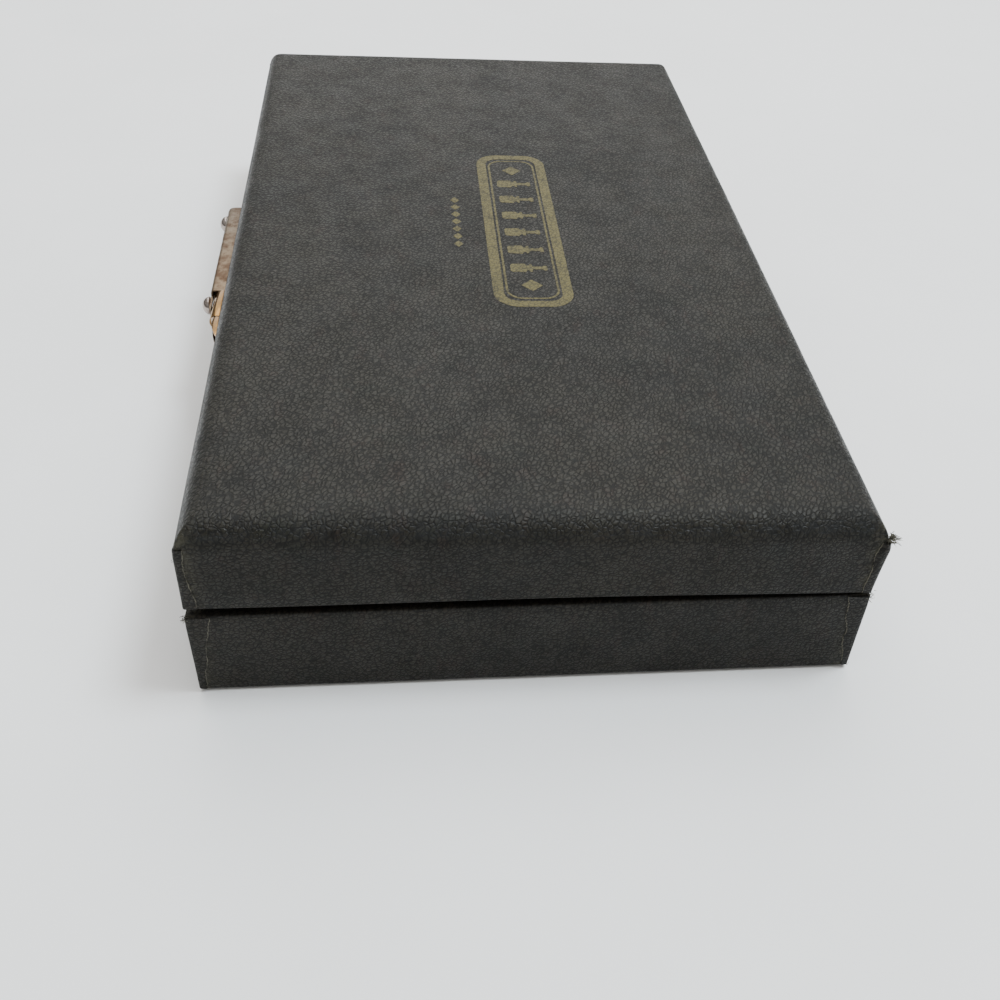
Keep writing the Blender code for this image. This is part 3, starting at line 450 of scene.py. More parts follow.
def lining_paper(name):
    """Thin black pebbled paper, scuffed grey."""
    s = Shader(name, 0.7)
    scuffs = s.span(s.noise(5 * MM, 4.0, 0.75), 0.50, 0.74)
    s.set("Base Color", s.mix(scuffs, (0.012, 0.012, 0.012), (0.045, 0.043, 0.040)))
    s.bump(s.noise(0.5 * MM, 3.0, 0.6), 0.04 * MM, 0.7)
    return s.material


def painted_floor(name):
    """Plain pale table top with the faintest mottling."""
    s = Shader(name, 0.62, Specular_IOR_Level=0.3)
    cloud = s.span(s.noise(60 * MM, 4.0, 0.6), 0.3, 0.7)
    s.set("Base Color", s.mix(cloud, (0.870, 0.866, 0.850), (0.905, 0.900, 0.885)))
    s.bump(s.noise(1.5 * MM, 4.0, 0.6), 0.03 * MM, 0.4)
    return s.material


def assign(obj, material):
    obj.data.materials.clear()
    obj.data.materials.append(material)


# ---- Mesh helpers ----
def link_mesh(name, bm, material, sharp=35):
    bmesh.ops.recalc_face_normals(bm, faces=bm.faces)
    mesh = bpy.data.meshes.new(name)
    bm.to_mesh(mesh)
    bm.free()
    mesh.shade_smooth()
    mesh.set_sharp_from_angle(angle=math.radians(sharp))
    obj = bpy.data.objects.new(name, mesh)
    bpy.context.scene.collection.objects.link(obj)
    assign(obj, material)
    return obj


def join_loops(loops, closed=False, bm=None):
    """Skin a row of point loops: capped at both ends, or closed into a ring."""
    bm = bm or bmesh.new()
    rings = [[bm.verts.new(point) for point in loop] for loop in loops]
    pairs = list(zip(rings, rings[1:]))
    if closed:
        pairs.append((rings[-1], rings[0]))
    else:
        bm.faces.new(list(reversed(rings[0])))
        bm.faces.new(rings[-1])
    for low, high in pairs:
        for i in range(len(low)):
            j = (i + 1) % len(low)
            bm.faces.new((low[i], low[j], high[j], high[i]))
    return bm


def arc(centre, radius, start, end, steps):
    points = []
    for step in range(steps + 1):
        angle = math.radians(start + (end - start) * step / steps)
        points.append((centre[0] + radius * math.cos(angle), centre[1] + radius * math.sin(angle)))
    return points


def outline(inset, z, radius):
    """The case's rounded outline at an inset, always with the same number of points."""
    half = (CASE_X - inset - radius, CASE_Y - inset - radius)
    centres = ((1, 1), (-1, 1), (-1, -1), (1, -1))
    points = []
    for quarter, (side_x, side_y) in enumerate(centres):
        corner = (side_x * half[0], side_y * half[1])
        bend = arc(corner, radius, 90 * quarter, 90 * quarter + 90, CORNER_STEPS)
        points += [Vector((x, y, z)) for x, y in bend]
        next_x, next_y = centres[(quarter + 1) % 4]
        angle = math.radians(90 * (quarter + 1))
        end_x = next_x * half[0] + radius * math.cos(angle)
        end_y = next_y * half[1] + radius * math.sin(angle)
        start, end = points[-1], Vector((end_x, end_y, z))
        count = round(2 * (CASE_X if quarter % 2 == 0 else CASE_Y) / SKIN_STEP)
        points += [start.lerp(end, step / count) for step in range(1, count)]
    return points


def subdivide(profile, spacing):
    """Points added along a profile so that no step is much longer than spacing."""
    fine = [profile[0]]
    for start, end in zip(profile, profile[1:]):
        length = math.dist(start, end)
        count = max(1, round(length / spacing))
        for step in range(1, count + 1):
            t = step / count
            fine.append((start[0] + (end[0] - start[0]) * t, start[1] + (end[1] - start[1]) * t))
    return fine


def turned(profile, centre, axis, steps, closed=False, bm=None):
    """A turned solid: profile holds (distance along the axis, radius) pairs."""
    loops = []
    for along, radius in profile:
        loop = []
        for step in range(steps):
            angle = 2 * math.pi * step / steps
            a, b = radius * math.cos(angle), radius * math.sin(angle)
            offset = (along, a, b) if axis == "x" else (a, along, b)
            loop.append(tuple(c + o for c, o in zip(centre, offset)))
        loops.append(loop)
    return join_loops(loops, closed, bm)


def smooth_step(low, high, value):
    t = min(1.0, max(0.0, (value - low) / (high - low)))
    return t * t * (3 - 2 * t)


def ripple(point, size, seed):
    return noise.noise(Vector(point) / size + Vector((seed, seed * 1.7, seed * 0.3)))


LID_TURN = (
    Matrix.Translation(HINGE_AXIS)
    @ Matrix.Rotation(-LID_REST_ANGLE, 4, "X")
    @ Matrix.Translation(-HINGE_AXIS)
)


def ride_lid(obj):
    """A piece drawn with the lid shut is turned to the lid's rest angle and rides on it."""
    obj.data.transform(LID_TURN)
    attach(obj, "lid")


# ---- Leathercloth covering ----
def profile_arc(centre, radius, start, end, steps):
    """Arc of (inset, z) points; 0 degrees faces out of the wall and 90 faces up."""
    return [(2 * centre[0] - x, z) for x, z in arc(centre, radius, start, end, steps)]


def fill_top(bm):
    """Replace the flat cap of the last loop with quads straight across it."""
    bm.faces.ensure_lookup_table()
    cap = bm.faces[1]
    ring = list(cap.verts)
    bm.faces.remove(cap)
    long_count = round(2 * CASE_X / SKIN_STEP)
    short_count = round(2 * CASE_Y / SKIN_STEP)
    left = ring[CORNER_STEPS:CORNER_STEPS + long_count + 1]
    skipped = 2 * CORNER_STEPS + long_count + short_count
    right = ring[skipped + CORNER_STEPS:skipped + CORNER_STEPS + long_count + 1][::-1]
    for (a, b), (c, d) in zip(zip(left, left[1:]), zip(right, right[1:])):
        bm.faces.new((a, b, d, c))
    bm.faces.new(ring[CORNER_STEPS + long_count:skipped + CORNER_STEPS + 1])
    bm.faces.new(ring[skipped + CORNER_STEPS + long_count:] + ring[:CORNER_STEPS + 1])


def skin_swell(place):
    """How far the covering lies below its nominal face, in slow waves."""
    return SKIN_SWELL * (0.5 + 0.5 * ripple(place, 17 * MM, 3.0))


def wrap_covering(name, hidden, shown, material, domed=False):
    """Closed skin from two profiles of (inset, z): its glued side, then its outer side."""
    loops = [outline(inset, z, 0.3 * MM) for inset, z in hidden]
    loops += [outline(inset, z, PLAN_RADIUS) for inset, z in shown]
    shown_start = len(hidden) * len(loops[0])
    bm = join_loops(loops, closed=not domed)
    if domed:
        fill_top(bm)
    obj = link_mesh(name, bm, material, 50)
    mesh = obj.data
    layers = {key: mesh.attributes.new(key, "FLOAT", "POINT") for key in ("edge", "wear")}
    normals = [vertex.normal.copy() for vertex in mesh.vertices]
    for vertex, normal in zip(mesh.vertices, normals):
        up = abs(normal.z)
        place = vertex.co.copy()
        corner = math.hypot(CASE_X - abs(place.x), CASE_Y - abs(place.y))
        edge = smooth_step(0.10, 0.45, 1 - up) * smooth_step(0.30, 0.62, up)
        layers["edge"].data[vertex.index].value = edge
        layers["wear"].data[vertex.index].value = 1 - smooth_step(0.5 * MM, 2.6 * MM, corner)
        if vertex.index >= shown_start:
            dent = 0.5 + 0.5 * ripple(place, 4.5 * MM, 9.0)
            vertex.co = place - normal * (skin_swell(place) + EDGE_DENT * dent * edge)
    return obj


def rim_droop(y):
    """How far the covering sags below the lid's rim: most of all by the latch."""
    return RIM_DROOP * smooth_step(-15 * MM, 45 * MM, -y)


def wrap_lid(material):
    centre = (LID_EDGE_RADIUS, LID_TOP - LID_EDGE_RADIUS)
    inner_edge = TURN_IN + TURN_IN_SHEET
    hidden = [(43.0 * MM, LID_TOP - SKIN)]
    hidden += profile_arc(centre, LID_EDGE_RADIUS - SKIN, 90, 0, 6)
    hidden += [(SKIN, LID_BOTTOM + SKIN), (TURN_IN, LID_BOTTOM + SKIN), (TURN_IN, LID_TURN_IN_TOP)]
    hidden += [(inner_edge, LID_TURN_IN_TOP)]
    rim = [(inner_edge, LID_BOTTOM + 0.3 * MM), (TURN_IN, LID_BOTTOM)]
    rim += profile_arc((0.35 * MM, LID_BOTTOM + 0.35 * MM), 0.35 * MM, -90, 0, 3)
    wall_top = (0, LID_TOP - LID_EDGE_RADIUS)
    shown = rim + subdivide([rim[-1], wall_top], SKIN_STEP)[1:]
    shown += profile_arc(centre, LID_EDGE_RADIUS, 0, 90, 9)[1:]
    shown += subdivide([shown[-1], (43.0 * MM, LID_TOP)], SKIN_STEP)[1:]
    skin = wrap_covering("lid_skin", hidden, shown, material, domed=True)
    shown_start = len(hidden) * len(outline(0, 0, PLAN_RADIUS))
    for vertex in skin.data.vertices:
        if vertex.index >= shown_start:
            low = 1 - smooth_step(0.4 * MM, 4.0 * MM, vertex.co.z - LID_BOTTOM)
            vertex.co.z -= rim_droop(vertex.co.y) * low
    ride_lid(skin)
    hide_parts("lid_covering")


def wrap_base(material):
    inner_edge = TURN_IN + TURN_IN_SHEET
    under, under_top, sheet_side = 9.0 * MM, 0.9 * MM, 1.5 * MM
    foot, sheet_top = COVERING_FOOT, 0.5 * MM
    hidden = [(under, under_top), (SKIN, under_top), (SKIN, BASE_TOP - SKIN)]
    hidden += [(TURN_IN, BASE_TOP - SKIN), (TURN_IN, BASE_TURN_IN_BOTTOM)]
    hidden += [(inner_edge, BASE_TURN_IN_BOTTOM)]
    shown = [(inner_edge, BASE_TOP - 0.3 * MM), (TURN_IN, BASE_TOP)]
    shown += profile_arc((0.35 * MM, BASE_TOP - 0.35 * MM), 0.35 * MM, 90, 0, 3)
    shown += subdivide([shown[-1], (0, foot + 0.4 * MM)], SKIN_STEP)[1:]
    shown += profile_arc((0.4 * MM, foot + 0.4 * MM), 0.4 * MM, 0, -90, 3)[1:]
    shown += [(sheet_side, foot), (sheet_side, sheet_top), (under, sheet_top)]
    skin = wrap_covering("base_skin", hidden, shown, material)
    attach(skin, "base")
    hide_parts("base_covering")


# ---- Gold ornament stamped on the lid ----
def lid_surface(x, y):
    """Height of the covering's top, which swells a little over the board."""
    return LID_TOP - skin_swell(Vector((x, y, LID_TOP)))


def foil_loop(points):
    """Section of a foil strip from its two sides: its top face, then its underside."""
    over = [(x, y, lid_surface(x, y) + FOIL_RISE) for x, y in points]
    under = [(x, y, lid_surface(x, y) - FOIL_RISE) for x, y in reversed(points)]
    return over + under


def stadium(half_x, half_y, radius, steps=10):
    """Rounded rectangle about the ornament's centre, with points along its long sides too."""
    points = []
    for quarter, (side_x, side_y) in enumerate(((1, 1), (-1, 1), (-1, -1), (1, -1))):
        centre = (side_x * (half_x - radius), side_y * (half_y - radius))
        points += arc(centre, radius, 90 * quarter, 90 * quarter + 90, steps)
        if quarter % 2 == 0:
            reach = side_x * (half_x - radius)
            count = 30
            points += [(reach * (1 - 2 * step / count), side_y * half_y) for step in range(1, count)]
    return [(ORNAMENT[0] + x, ORNAMENT[1] + y) for x, y in points]


def foil_band(bm, half_x, half_y, width):
    outer = stadium(half_x, half_y, half_y * 0.62)
    inner = stadium(half_x - width, half_y - width, max(half_y * 0.62 - width, 0.3 * MM))
    join_loops([foil_loop([a, b]) for a, b in zip(outer, inner)], True, bm)


def foil_shape(bm, centre, stations, along_x=False):
    """Symmetrical foil shape from (distance along, half width) stations, upright by default."""
    loops = []
    for along, half in subdivide(stations, 1.0 * MM):
        if along_x:
            sides = [(centre[0] + along, centre[1] + half), (centre[0] + along, centre[1] - half)]
        else:
            sides = [(centre[0] - half, centre[1] + along), (centre[0] + half, centre[1] + along)]
        loops.append(foil_loop(sides))
    join_loops(loops, bm=bm)


def add_ornament():
    """A plain double border round six little upright screwdrivers, and a row of lozenges."""
    bm = bmesh.new()
    foil_band(bm, 26.8 * MM, 6.3 * MM, 1.7 * MM)
    foil_band(bm, 24.5 * MM, 4.25 * MM, 0.35 * MM)
    driver = [(-3.0, 0.9), (-2.7, 1.25), (-0.6, 1.35), (-0.3, 0.75), (0.0, 0.75), (0.2, 1.2)]
    driver += [(0.5, 1.2), (0.6, 0.42), (2.2, 0.42), (2.6, 0.8), (3.0, 0.65)]
    driver = [(along * MM, half * MM) for along, half in driver]
    for number in range(6):
        centre = (ORNAMENT[0] + (number - 2.5) * 6.0 * MM, ORNAMENT[1])
        foil_shape(bm, centre, driver)
    lozenge = [(-1.7 * MM, 0.05 * MM), (0, 1.7 * MM), (1.7 * MM, 0.05 * MM)]
    for side in (-1, 1):
        foil_shape(bm, (ORNAMENT[0] + side * 20.4 * MM, ORNAMENT[1]), lozenge, True)
    small = [(-1.0 * MM, 0.05 * MM), (0, 0.8 * MM), (1.0 * MM, 0.05 * MM)]
    for number in range(7):
        centre = (ORNAMENT[0] + (number - 3.2) * 2.6 * MM, ORNAMENT[1] - 11.0 * MM)
        foil_shape(bm, centre, small, True)
    foil = link_mesh("lid_foil_ornament", bm, gold_foil("worn_gold_foil"), 60)
    ride_lid(foil)


# ---- Corner folds and fraying ----
def corner_path(side_x, side_y, reach):
    """(point, outward normal) pairs round a vertical corner, from the long side to the short."""
    half = (CASE_X - PLAN_RADIUS, CASE_Y - PLAN_RADIUS)
    path = [((half[0] - 1.2 * MM, CASE_Y), (0, 1)), ((half[0] - 0.4 * MM, CASE_Y), (0, 1))]
    for step in range(5):
        angle = math.radians(90 - 90 * step / 4)
        normal = (math.cos(angle), math.sin(angle))
        point = (half[0] + PLAN_RADIUS * normal[0], half[1] + PLAN_RADIUS * normal[1])
        path.append((point, normal))
    run = reach - PLAN_RADIUS
    path += [((CASE_X, half[1] - run * step / 4), (1, 0)) for step in range(1, 5)]
    return [((side_x * p[0], side_y * p[1]), (side_x * n[0], side_y * n[1])) for p, n in path]


def add_corner_fold(name, body, side, heights, reaches, swell, seed, leather, raw):
    """Flap of covering lapped round a corner, ending in a ragged raw edge on the short side."""
    rng = random.Random(seed)
    loops, tips = [], []
    rows = round((heights[1] - heights[0]) / (0.3 * MM))
    for row in range(rows + 1):
        t = row / rows
        z = heights[0] + (heights[1] - heights[0]) * t
        reach = reaches[0] + (reaches[1] - reaches[0]) * t + rng.uniform(-0.07, 0.07) * MM
        reach += 0.45 * MM * ripple((0, 0, z), 3.5 * MM, seed)
        bulge = swell * t ** 1.5 * (1 - 0.6 * smooth_step(0.85, 1.0, t))
        path = corner_path(*side, max(reach, PLAN_RADIUS + 0.2 * MM))
        last = len(path) - 1
        outer, inner = [], []
        for index, ((x, y), (nx, ny)) in enumerate(path):
            lift = FOLD_RISE * smooth_step(0, 5, index) * (1 - 0.5 * (index == last))
            lift += bulge * smooth_step(0, 3, index) * smooth_step(0, 3, last - index)
            outer.append((x + nx * lift, y + ny * lift, z))
            inner.append((x - nx * 0.15 * MM, y - ny * 0.15 * MM, z))
        loops.append(outer + inner[::-1])
        tips.append((Vector(outer[-1]), Vector((*path[-1][1], 0))))
    fold = link_mesh(name, join_loops(loops), leather, 50)
    place_on(fold, body)
    add_raw_edge(f"{name}_raw_edge", body, tips, side[1], rng, raw)


def add_raw_edge(name, body, tips, side_y, rng, material):
    """Pale threads showing along a cut edge, in broken runs."""
    bm = bmesh.new()
    start = rng.randint(0, 2)
    while start < len(tips) - 2:
        end = min(start + rng.randint(6, 18), len(tips) - 1)
        loops = []
        for index in range(start, end + 1):
            point, normal = tips[index]
            ends = min(index - start, end - index)
            width = (0.015 + 0.02 * min(ends, 2) + rng.uniform(0, 0.03)) * MM
            inward = Vector((0, -side_y, 0))
            low, high = point - normal * 0.12 * MM, point + normal * 0.015 * MM
            loops.append([low - inward * width, high - inward * width * 0.5,
                          high + inward * width * 0.5, low + inward * width])
        join_loops([[tuple(corner) for corner in loop] for loop in loops], bm=bm)
        start = end + rng.randint(1, 2)
    edge = link_mesh(name, bm, material, 60)
    place_on(edge, body)


def place_on(obj, body):
    if body == "lid":
        ride_lid(obj)
    else:
        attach(obj, body)


def add_threads(name, body, root, outward, count, length, seed, material):
    """A matted tuft of frayed threads standing out of a worn corner."""
    rng = random.Random(seed)
    bm = bmesh.new()
    for _ in range(count):
        spread = [rng.gauss(0, 0.16) * MM for _ in range(3)]
        point = Vector(root) + Vector((spread[0], spread[1], 2.0 * spread[2]))
        heading = Vector(outward).normalized() + Vector([rng.gauss(0, 0.40) for _ in range(3)])
        step = length * rng.uniform(0.15, 1.0) ** 1.5 / 5
        thickness = rng.uniform(0.03, 0.07) * MM
        loops = []
        for index in range(6):
            heading = heading.normalized() + Vector([rng.uniform(-0.25, 0.25) for _ in range(3)])
            side = heading.orthogonal().normalized()
            other = heading.cross(side).normalized()
            radius = thickness * (1 - 0.7 * index / 5)
            loops.append([tuple(point + corner * radius) for corner in (side, other, -side, -other)])
            point = point + heading.normalized() * step
        join_loops(loops, bm=bm)
    tuft = link_mesh(name, bm, material, 60)
    place_on(tuft, body)


def add_folds_and_fraying(leather):
    raw = raw_edge("raw_backing")
    fibres = raw_edge("olive_fibres")
    corners = ((1, 1), (1, -1), (-1, 1), (-1, -1))
    base_heights = (0.5 * MM, BASE_TOP - 0.15 * MM)
    for number, side in enumerate(corners, 1):
        reaches = (0.9 * MM, 3.0 * MM)
        add_corner_fold(f"base_corner_fold_{number}", "base", side, base_heights, reaches,
                        0.12 * MM, 20 + number, leather, raw)
        rim = LID_BOTTOM + 0.3 * MM - rim_droop(side[1] * CASE_Y)
        heights = (rim, LID_TOP - LID_EDGE_RADIUS + 0.4 * MM)
        reaches = (1.5 * MM, 1.0 * MM)
        swell = 0.50 * MM if side == (1, 1) else 0.15 * MM
        add_corner_fold(f"lid_corner_fold_{number}", "lid", side, heights, reaches,
                        swell, 40 + number, leather, raw)
    tufts = (
        ("lid_frayed_corner_1", "lid", (1, 1), LID_TOP - LID_EDGE_RADIUS + 1.2 * MM, 70, 1.7 * MM),
        ("lid_frayed_corner_2", "lid", (1, -1), LID_TOP - LID_EDGE_RADIUS - 0.8 * MM, 10, 0.4 * MM),
        ("lid_frayed_rim_1", "lid", (1, 1), LID_BOTTOM + 0.4 * MM, 6, 0.5 * MM),
        ("base_frayed_corner_1", "base", (1, 1), BASE_TOP - 0.3 * MM, 22, 0.9 * MM),
        ("base_frayed_corner_2", "base", (1, -1), BASE_TOP - 0.4 * MM, 20, 0.8 * MM),
        ("base_frayed_foot", "base", (1, 1), 0.7 * MM, 8, 0.3 * MM),
    )
    for seed, (name, body, side, z, count, length) in enumerate(tufts):
        inset = PLAN_RADIUS * 0.3
        root = (side[0] * (CASE_X - inset), side[1] * (CASE_Y - inset), z)
        outward = (0.7 * side[0], 1.0 * side[1], -0.1)
        add_threads(name, body, root, outward, count, length, seed, fibres)


# ---- Metalwork ----
def refine(node_name, material, bevel=0.0, segments=2):
    """Give a CAD node its material and, where its edges are too sharp, a fine bevel."""
    obj = nodes[node_name]
    assign(obj, material)
    if bevel > 0:
        custom = obj.data.attributes.get("custom_normal")
        if custom is not None:
            obj.data.attributes.remove(custom)
        weld = obj.modifiers.new("weld", "WELD")
        weld.merge_threshold = 0.001 * MM
        rounding = obj.modifiers.new("soft_edges", "BEVEL")
        rounding.width = bevel
        rounding.segments = segments
        rounding.limit_method = "ANGLE"
        rounding.angle_limit = math.radians(38)
        rounding.use_clamp_overlap = True
        rounding.harden_normals = False
        obj.data.shade_smooth()
        obj.data.set_sharp_from_angle(angle=math.radians(50))


def add_rivet_domes(nickel):
    """Smooth dome heads on the flap's two rivets."""
    for name, side in (("far", -1), ("near", 1)):
        x, y, z = LATCH_PIN[0] + side * RIVET_X, LATCH_PIN[1] - RIVET_OUT, LATCH_PIN[2] - RIVET_DROP
        profile = [(0.6, 0.3), (-0.02, 0.3), (-0.02, 1.42), (-0.10, 1.5)]
        for step in range(1, 9):
            angle = math.radians(84) * step / 8
            profile.append((-0.10 - 1.25 * math.sin(angle), 1.5 * math.cos(angle)))
        profile = [(along * MM, radius * MM) for along, radius in profile]
        dome = link_mesh(f"latch_dome_rivet_{name}", turned(profile, (x, y, z), "y", 40), nickel, 50)
        dome.data.transform(LID_TURN)
        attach(dome, "latch_flap")
        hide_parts(f"latch_rivet_{name}")


def add_metalwork():
    worn = metal("worn_copper_plate", (0.190, 0.145, 0.098), (0.105, 0.058, 0.036), 0.36, 0.80)
    gilt = metal("polished_gilt", (0.30, 0.175, 0.065), (0.12, 0.06, 0.025), 0.12, 0.40)
    nickel = metal("plated_nickel", (0.44, 0.39, 0.36), (0.16, 0.11, 0.085), 0.09, 0.5)
    spring = metal("spring_strip", (0.42, 0.42, 0.42), (0.20, 0.17, 0.14), 0.30, 0.5)
    refine("latch_flap", worn, 0.10 * MM)
    refine("latch_hinge_plate", gilt, 0.05 * MM)
    refine("latch_pin", nickel)
    refine("latch_spring_clip", spring, 0.05 * MM)
    refine("keeper_plate", gilt, 0.12 * MM)
    names = ["latch_plate_nail_1", "latch_plate_nail_2", "keeper_nail_1", "keeper_nail_2"]
    for number in (1, 2):
        refine(f"hinge_{number}_base_leaf", gilt, 0.06 * MM)
        refine(f"hinge_{number}_lid_leaf", gilt, 0.06 * MM)
        refine(f"hinge_{number}_pin", nickel)
        names += [f"hinge_{number}_nail_{nail}" for nail in range(1, 5)]
    for name in names:
        refine(name, nickel, 0.05 * MM)
    add_rivet_domes(nickel)


# ---- Insides ----
def inside_outline(inset, radius, spacing):
    """(x, y, inward normal, run) round a rounded rectangle, for the gathered lining."""
    half = (CASE_X - inset - radius, CASE_Y - inset - radius)
    points, run = [], 0.0
    centres = ((1, 1), (-1, 1), (-1, -1), (1, -1))
    for quarter, (side_x, side_y) in enumerate(centres):
        corner = (side_x * half[0], side_y * half[1])
        for step in range(5):
            angle = math.radians(90 * quarter + 90 * step / 5)
            normal = (-math.cos(angle), -math.sin(angle))
            points.append((corner[0] - radius * normal[0], corner[1] - radius * normal[1], normal, run))
            run += radius * math.pi / 10
        length = 2 * half[quarter % 2]
        angle = math.radians(90 * quarter + 90)
        normal = (-math.cos(angle), -math.sin(angle))
        start = (corner[0] - radius * normal[0], corner[1] - radius * normal[1])
        heading = (-math.sin(angle), math.cos(angle))
        count = round(length / spacing)
        for step in range(count):
            moved = length * step / count
            points.append((start[0] + heading[0] * moved, start[1] + heading[1] * moved, normal, run))
            run += length / count
    return points


def add_lining(material):
    """Strip of satin gathered round the inside of the lid's walls."""
    heights = [18.0, 18.15, 18.5, 19.2, 20.2, 21.2, 22.2, 23.1, 23.7, 24.0]
    loops = []
    for x, y, (nx, ny), run in inside_outline(4.6 * MM, 1.0 * MM, 0.5 * MM):
        wander = 0.9 * ripple((run, 0, 0), 9 * MM, 5.0)
        pleat = abs(math.sin(math.pi * run / (2.3 * MM) + 2.0 * wander))
        loop = [(x + nx * 0.02 * MM, y + ny * 0.02 * MM, z * MM) for z in (24.0, 18.0)]
        for z in heights:
            held = 0.35 + 0.65 * smooth_step(18.1, 19.4, z) * (1 - smooth_step(22.6, 23.9, z))
            soft = 0.04 * ripple((run, z * MM, 0), 2.5 * MM, 7.0)
            depth = (0.16 + 0.36 * pleat * held + soft) * MM
            loop.append((x + nx * depth, y + ny * depth, z * MM))
        loops.append(loop)
    lining = link_mesh("lid_gathered_lining", join_loops(loops, True), material, 60)
    ride_lid(lining)
    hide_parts("lid_lining")


def pad_grid(half_x, half_y, low, high, spacing):
    """Closed slab of even quads; returns it with the indices of its glued upper side."""
    bm = bmesh.new()
    count_x, count_y = round(2 * half_x / spacing), round(2 * half_y / spacing)
    sides = []
    for z in (low, high):
        rows = []
        for i in range(count_x + 1):
            row = []
            for j in range(count_y + 1):
                x, y = half_x * (2 * i / count_x - 1), half_y * (2 * j / count_y - 1)
                rounding = 1 - 0.012 * (abs(x) / half_x) ** 8 * (abs(y) / half_y) ** 8
                row.append(bm.verts.new((x * rounding, y * rounding, z)))
            rows.append(row)
        sides.append(rows)
    bottom, top = sides
    for i in range(count_x):
        for j in range(count_y):
            bm.faces.new((bottom[i][j], bottom[i][j + 1], bottom[i + 1][j + 1], bottom[i + 1][j]))
            bm.faces.new((top[i][j], top[i + 1][j], top[i + 1][j + 1], top[i][j + 1]))
    border = [(i, 0) for i in range(count_x)] + [(count_x, j) for j in range(count_y)]
    border += [(i, count_y) for i in range(count_x, 0, -1)] + [(0, j) for j in range(count_y, 0, -1)]
    for (i, j), (k, l) in zip(border, border[1:] + border[:1]):
        bm.faces.new((bottom[i][j], bottom[k][l], top[k][l], top[i][j]))
    bm.verts.index_update()
    return bm, [vertex.index for row in top for vertex in row]


def inflate(obj, pinned, cap):
    """Puff a piece up by cloth simulation, keep no point more than cap from where it was."""
    start = [vertex.co.copy() for vertex in obj.data.vertices]
    group = obj.vertex_groups.new(name="sewn")
    group.add(pinned, 1.0, "REPLACE")
    cloth = obj.modifiers.new("cloth", "CLOTH")
    settings = cloth.settings
    settings.quality = 6
    settings.mass = 0.1
    settings.tension_stiffness = 12
    settings.compression_stiffness = 12
    settings.bending_stiffness = 0.02
    settings.shrink_min = -0.035
    settings.vertex_group_mass = "sewn"
    settings.use_pressure = True
    settings.uniform_pressure_force = 4.0
    settings.effector_weights.gravity = 0.0
    cloth.collision_settings.use_collision = False
    scene = bpy.context.scene
    for frame in range(1, 21):
        scene.frame_set(frame)
    settled = obj.evaluated_get(bpy.context.evaluated_depsgraph_get()).to_mesh()
    moved = [vertex.co.copy() for vertex in settled.vertices]
    obj.evaluated_get(bpy.context.evaluated_depsgraph_get()).to_mesh_clear()
    obj.modifiers.remove(cloth)
    scene.frame_set(1)
    for vertex, before, after in zip(obj.data.vertices, start, moved):
        step = after - before
        if step.length > cap:
            step *= cap / step.length
        vertex.co = before + step


def add_lid_pad(material):
    """Thin wadded pad of satin glued under the lid's top board."""
    bm, glued = pad_grid(PAD_HALF_X, PAD_HALF_Y, *PAD_HEIGHTS, 1.9 * MM)
    pad = link_mesh("lid_satin_pad", bm, material, 180)
    for vertex in pad.data.vertices:
        if vertex.co.z < 23 * MM:
            edge = min(PAD_HALF_X - abs(vertex.co.x), PAD_HALF_Y - abs(vertex.co.y))
            vertex.co.z += 0.9 * MM * (1 - smooth_step(0, 3.5 * MM, edge))
            vertex.co.z += 0.10 * MM * ripple(vertex.co, 6 * MM, 2.0)
    inflate(pad, glued, 2.0 * MM)
    smooth = pad.modifiers.new("smooth", "SUBSURF")
    smooth.levels = smooth.render_levels = 1
    ride_lid(pad)
    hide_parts("lid_pad")


def add_case_insides(satin_cloth):
    board = pulp_board("pulp_board")
    for name in ("base_frame", "base_bottom_board", "lid_frame", "lid_top_board"):
        refine(name, board)
    refine("base_bottom_sheet", lining_paper("black_paper"))
    refine("tool_tray", flocking("wine_flock"), 0.30 * MM, 3)
    add_lining(satin_cloth)
    add_lid_pad(satin_cloth)


# ---- Drivers ----
def carved(stations, steps, centre, cut):
    """Turned shape of (x, radius, share) stations, each cut in by its share of cut(x, step)."""
    loops = []
    for x, radius, share in stations:
        loop = []
        for step in range(steps):
            reach = radius - share * cut(x, step)
            angle = 2 * math.pi * step / steps
            loop.append((x, centre[0] + reach * math.cos(angle), centre[1] + reach * math.sin(angle)))
        loops.append(loop)
    return join_loops(loops)


def knurl_cut(x, step):
    """Depth of the crossed grooves, four steps to a tooth."""
    turns = [step / 4 + sign * x / KNURL_PITCH for sign in (1, -1)]
    return KNURL_DEPTH * max(abs(2 * (turn % 1.0) - 1) for turn in turns)


def flute_cut(x, step):
    """Depth of the straight flutes, one on every second step."""
    return FLUTE_DEPTH * (step % 2)


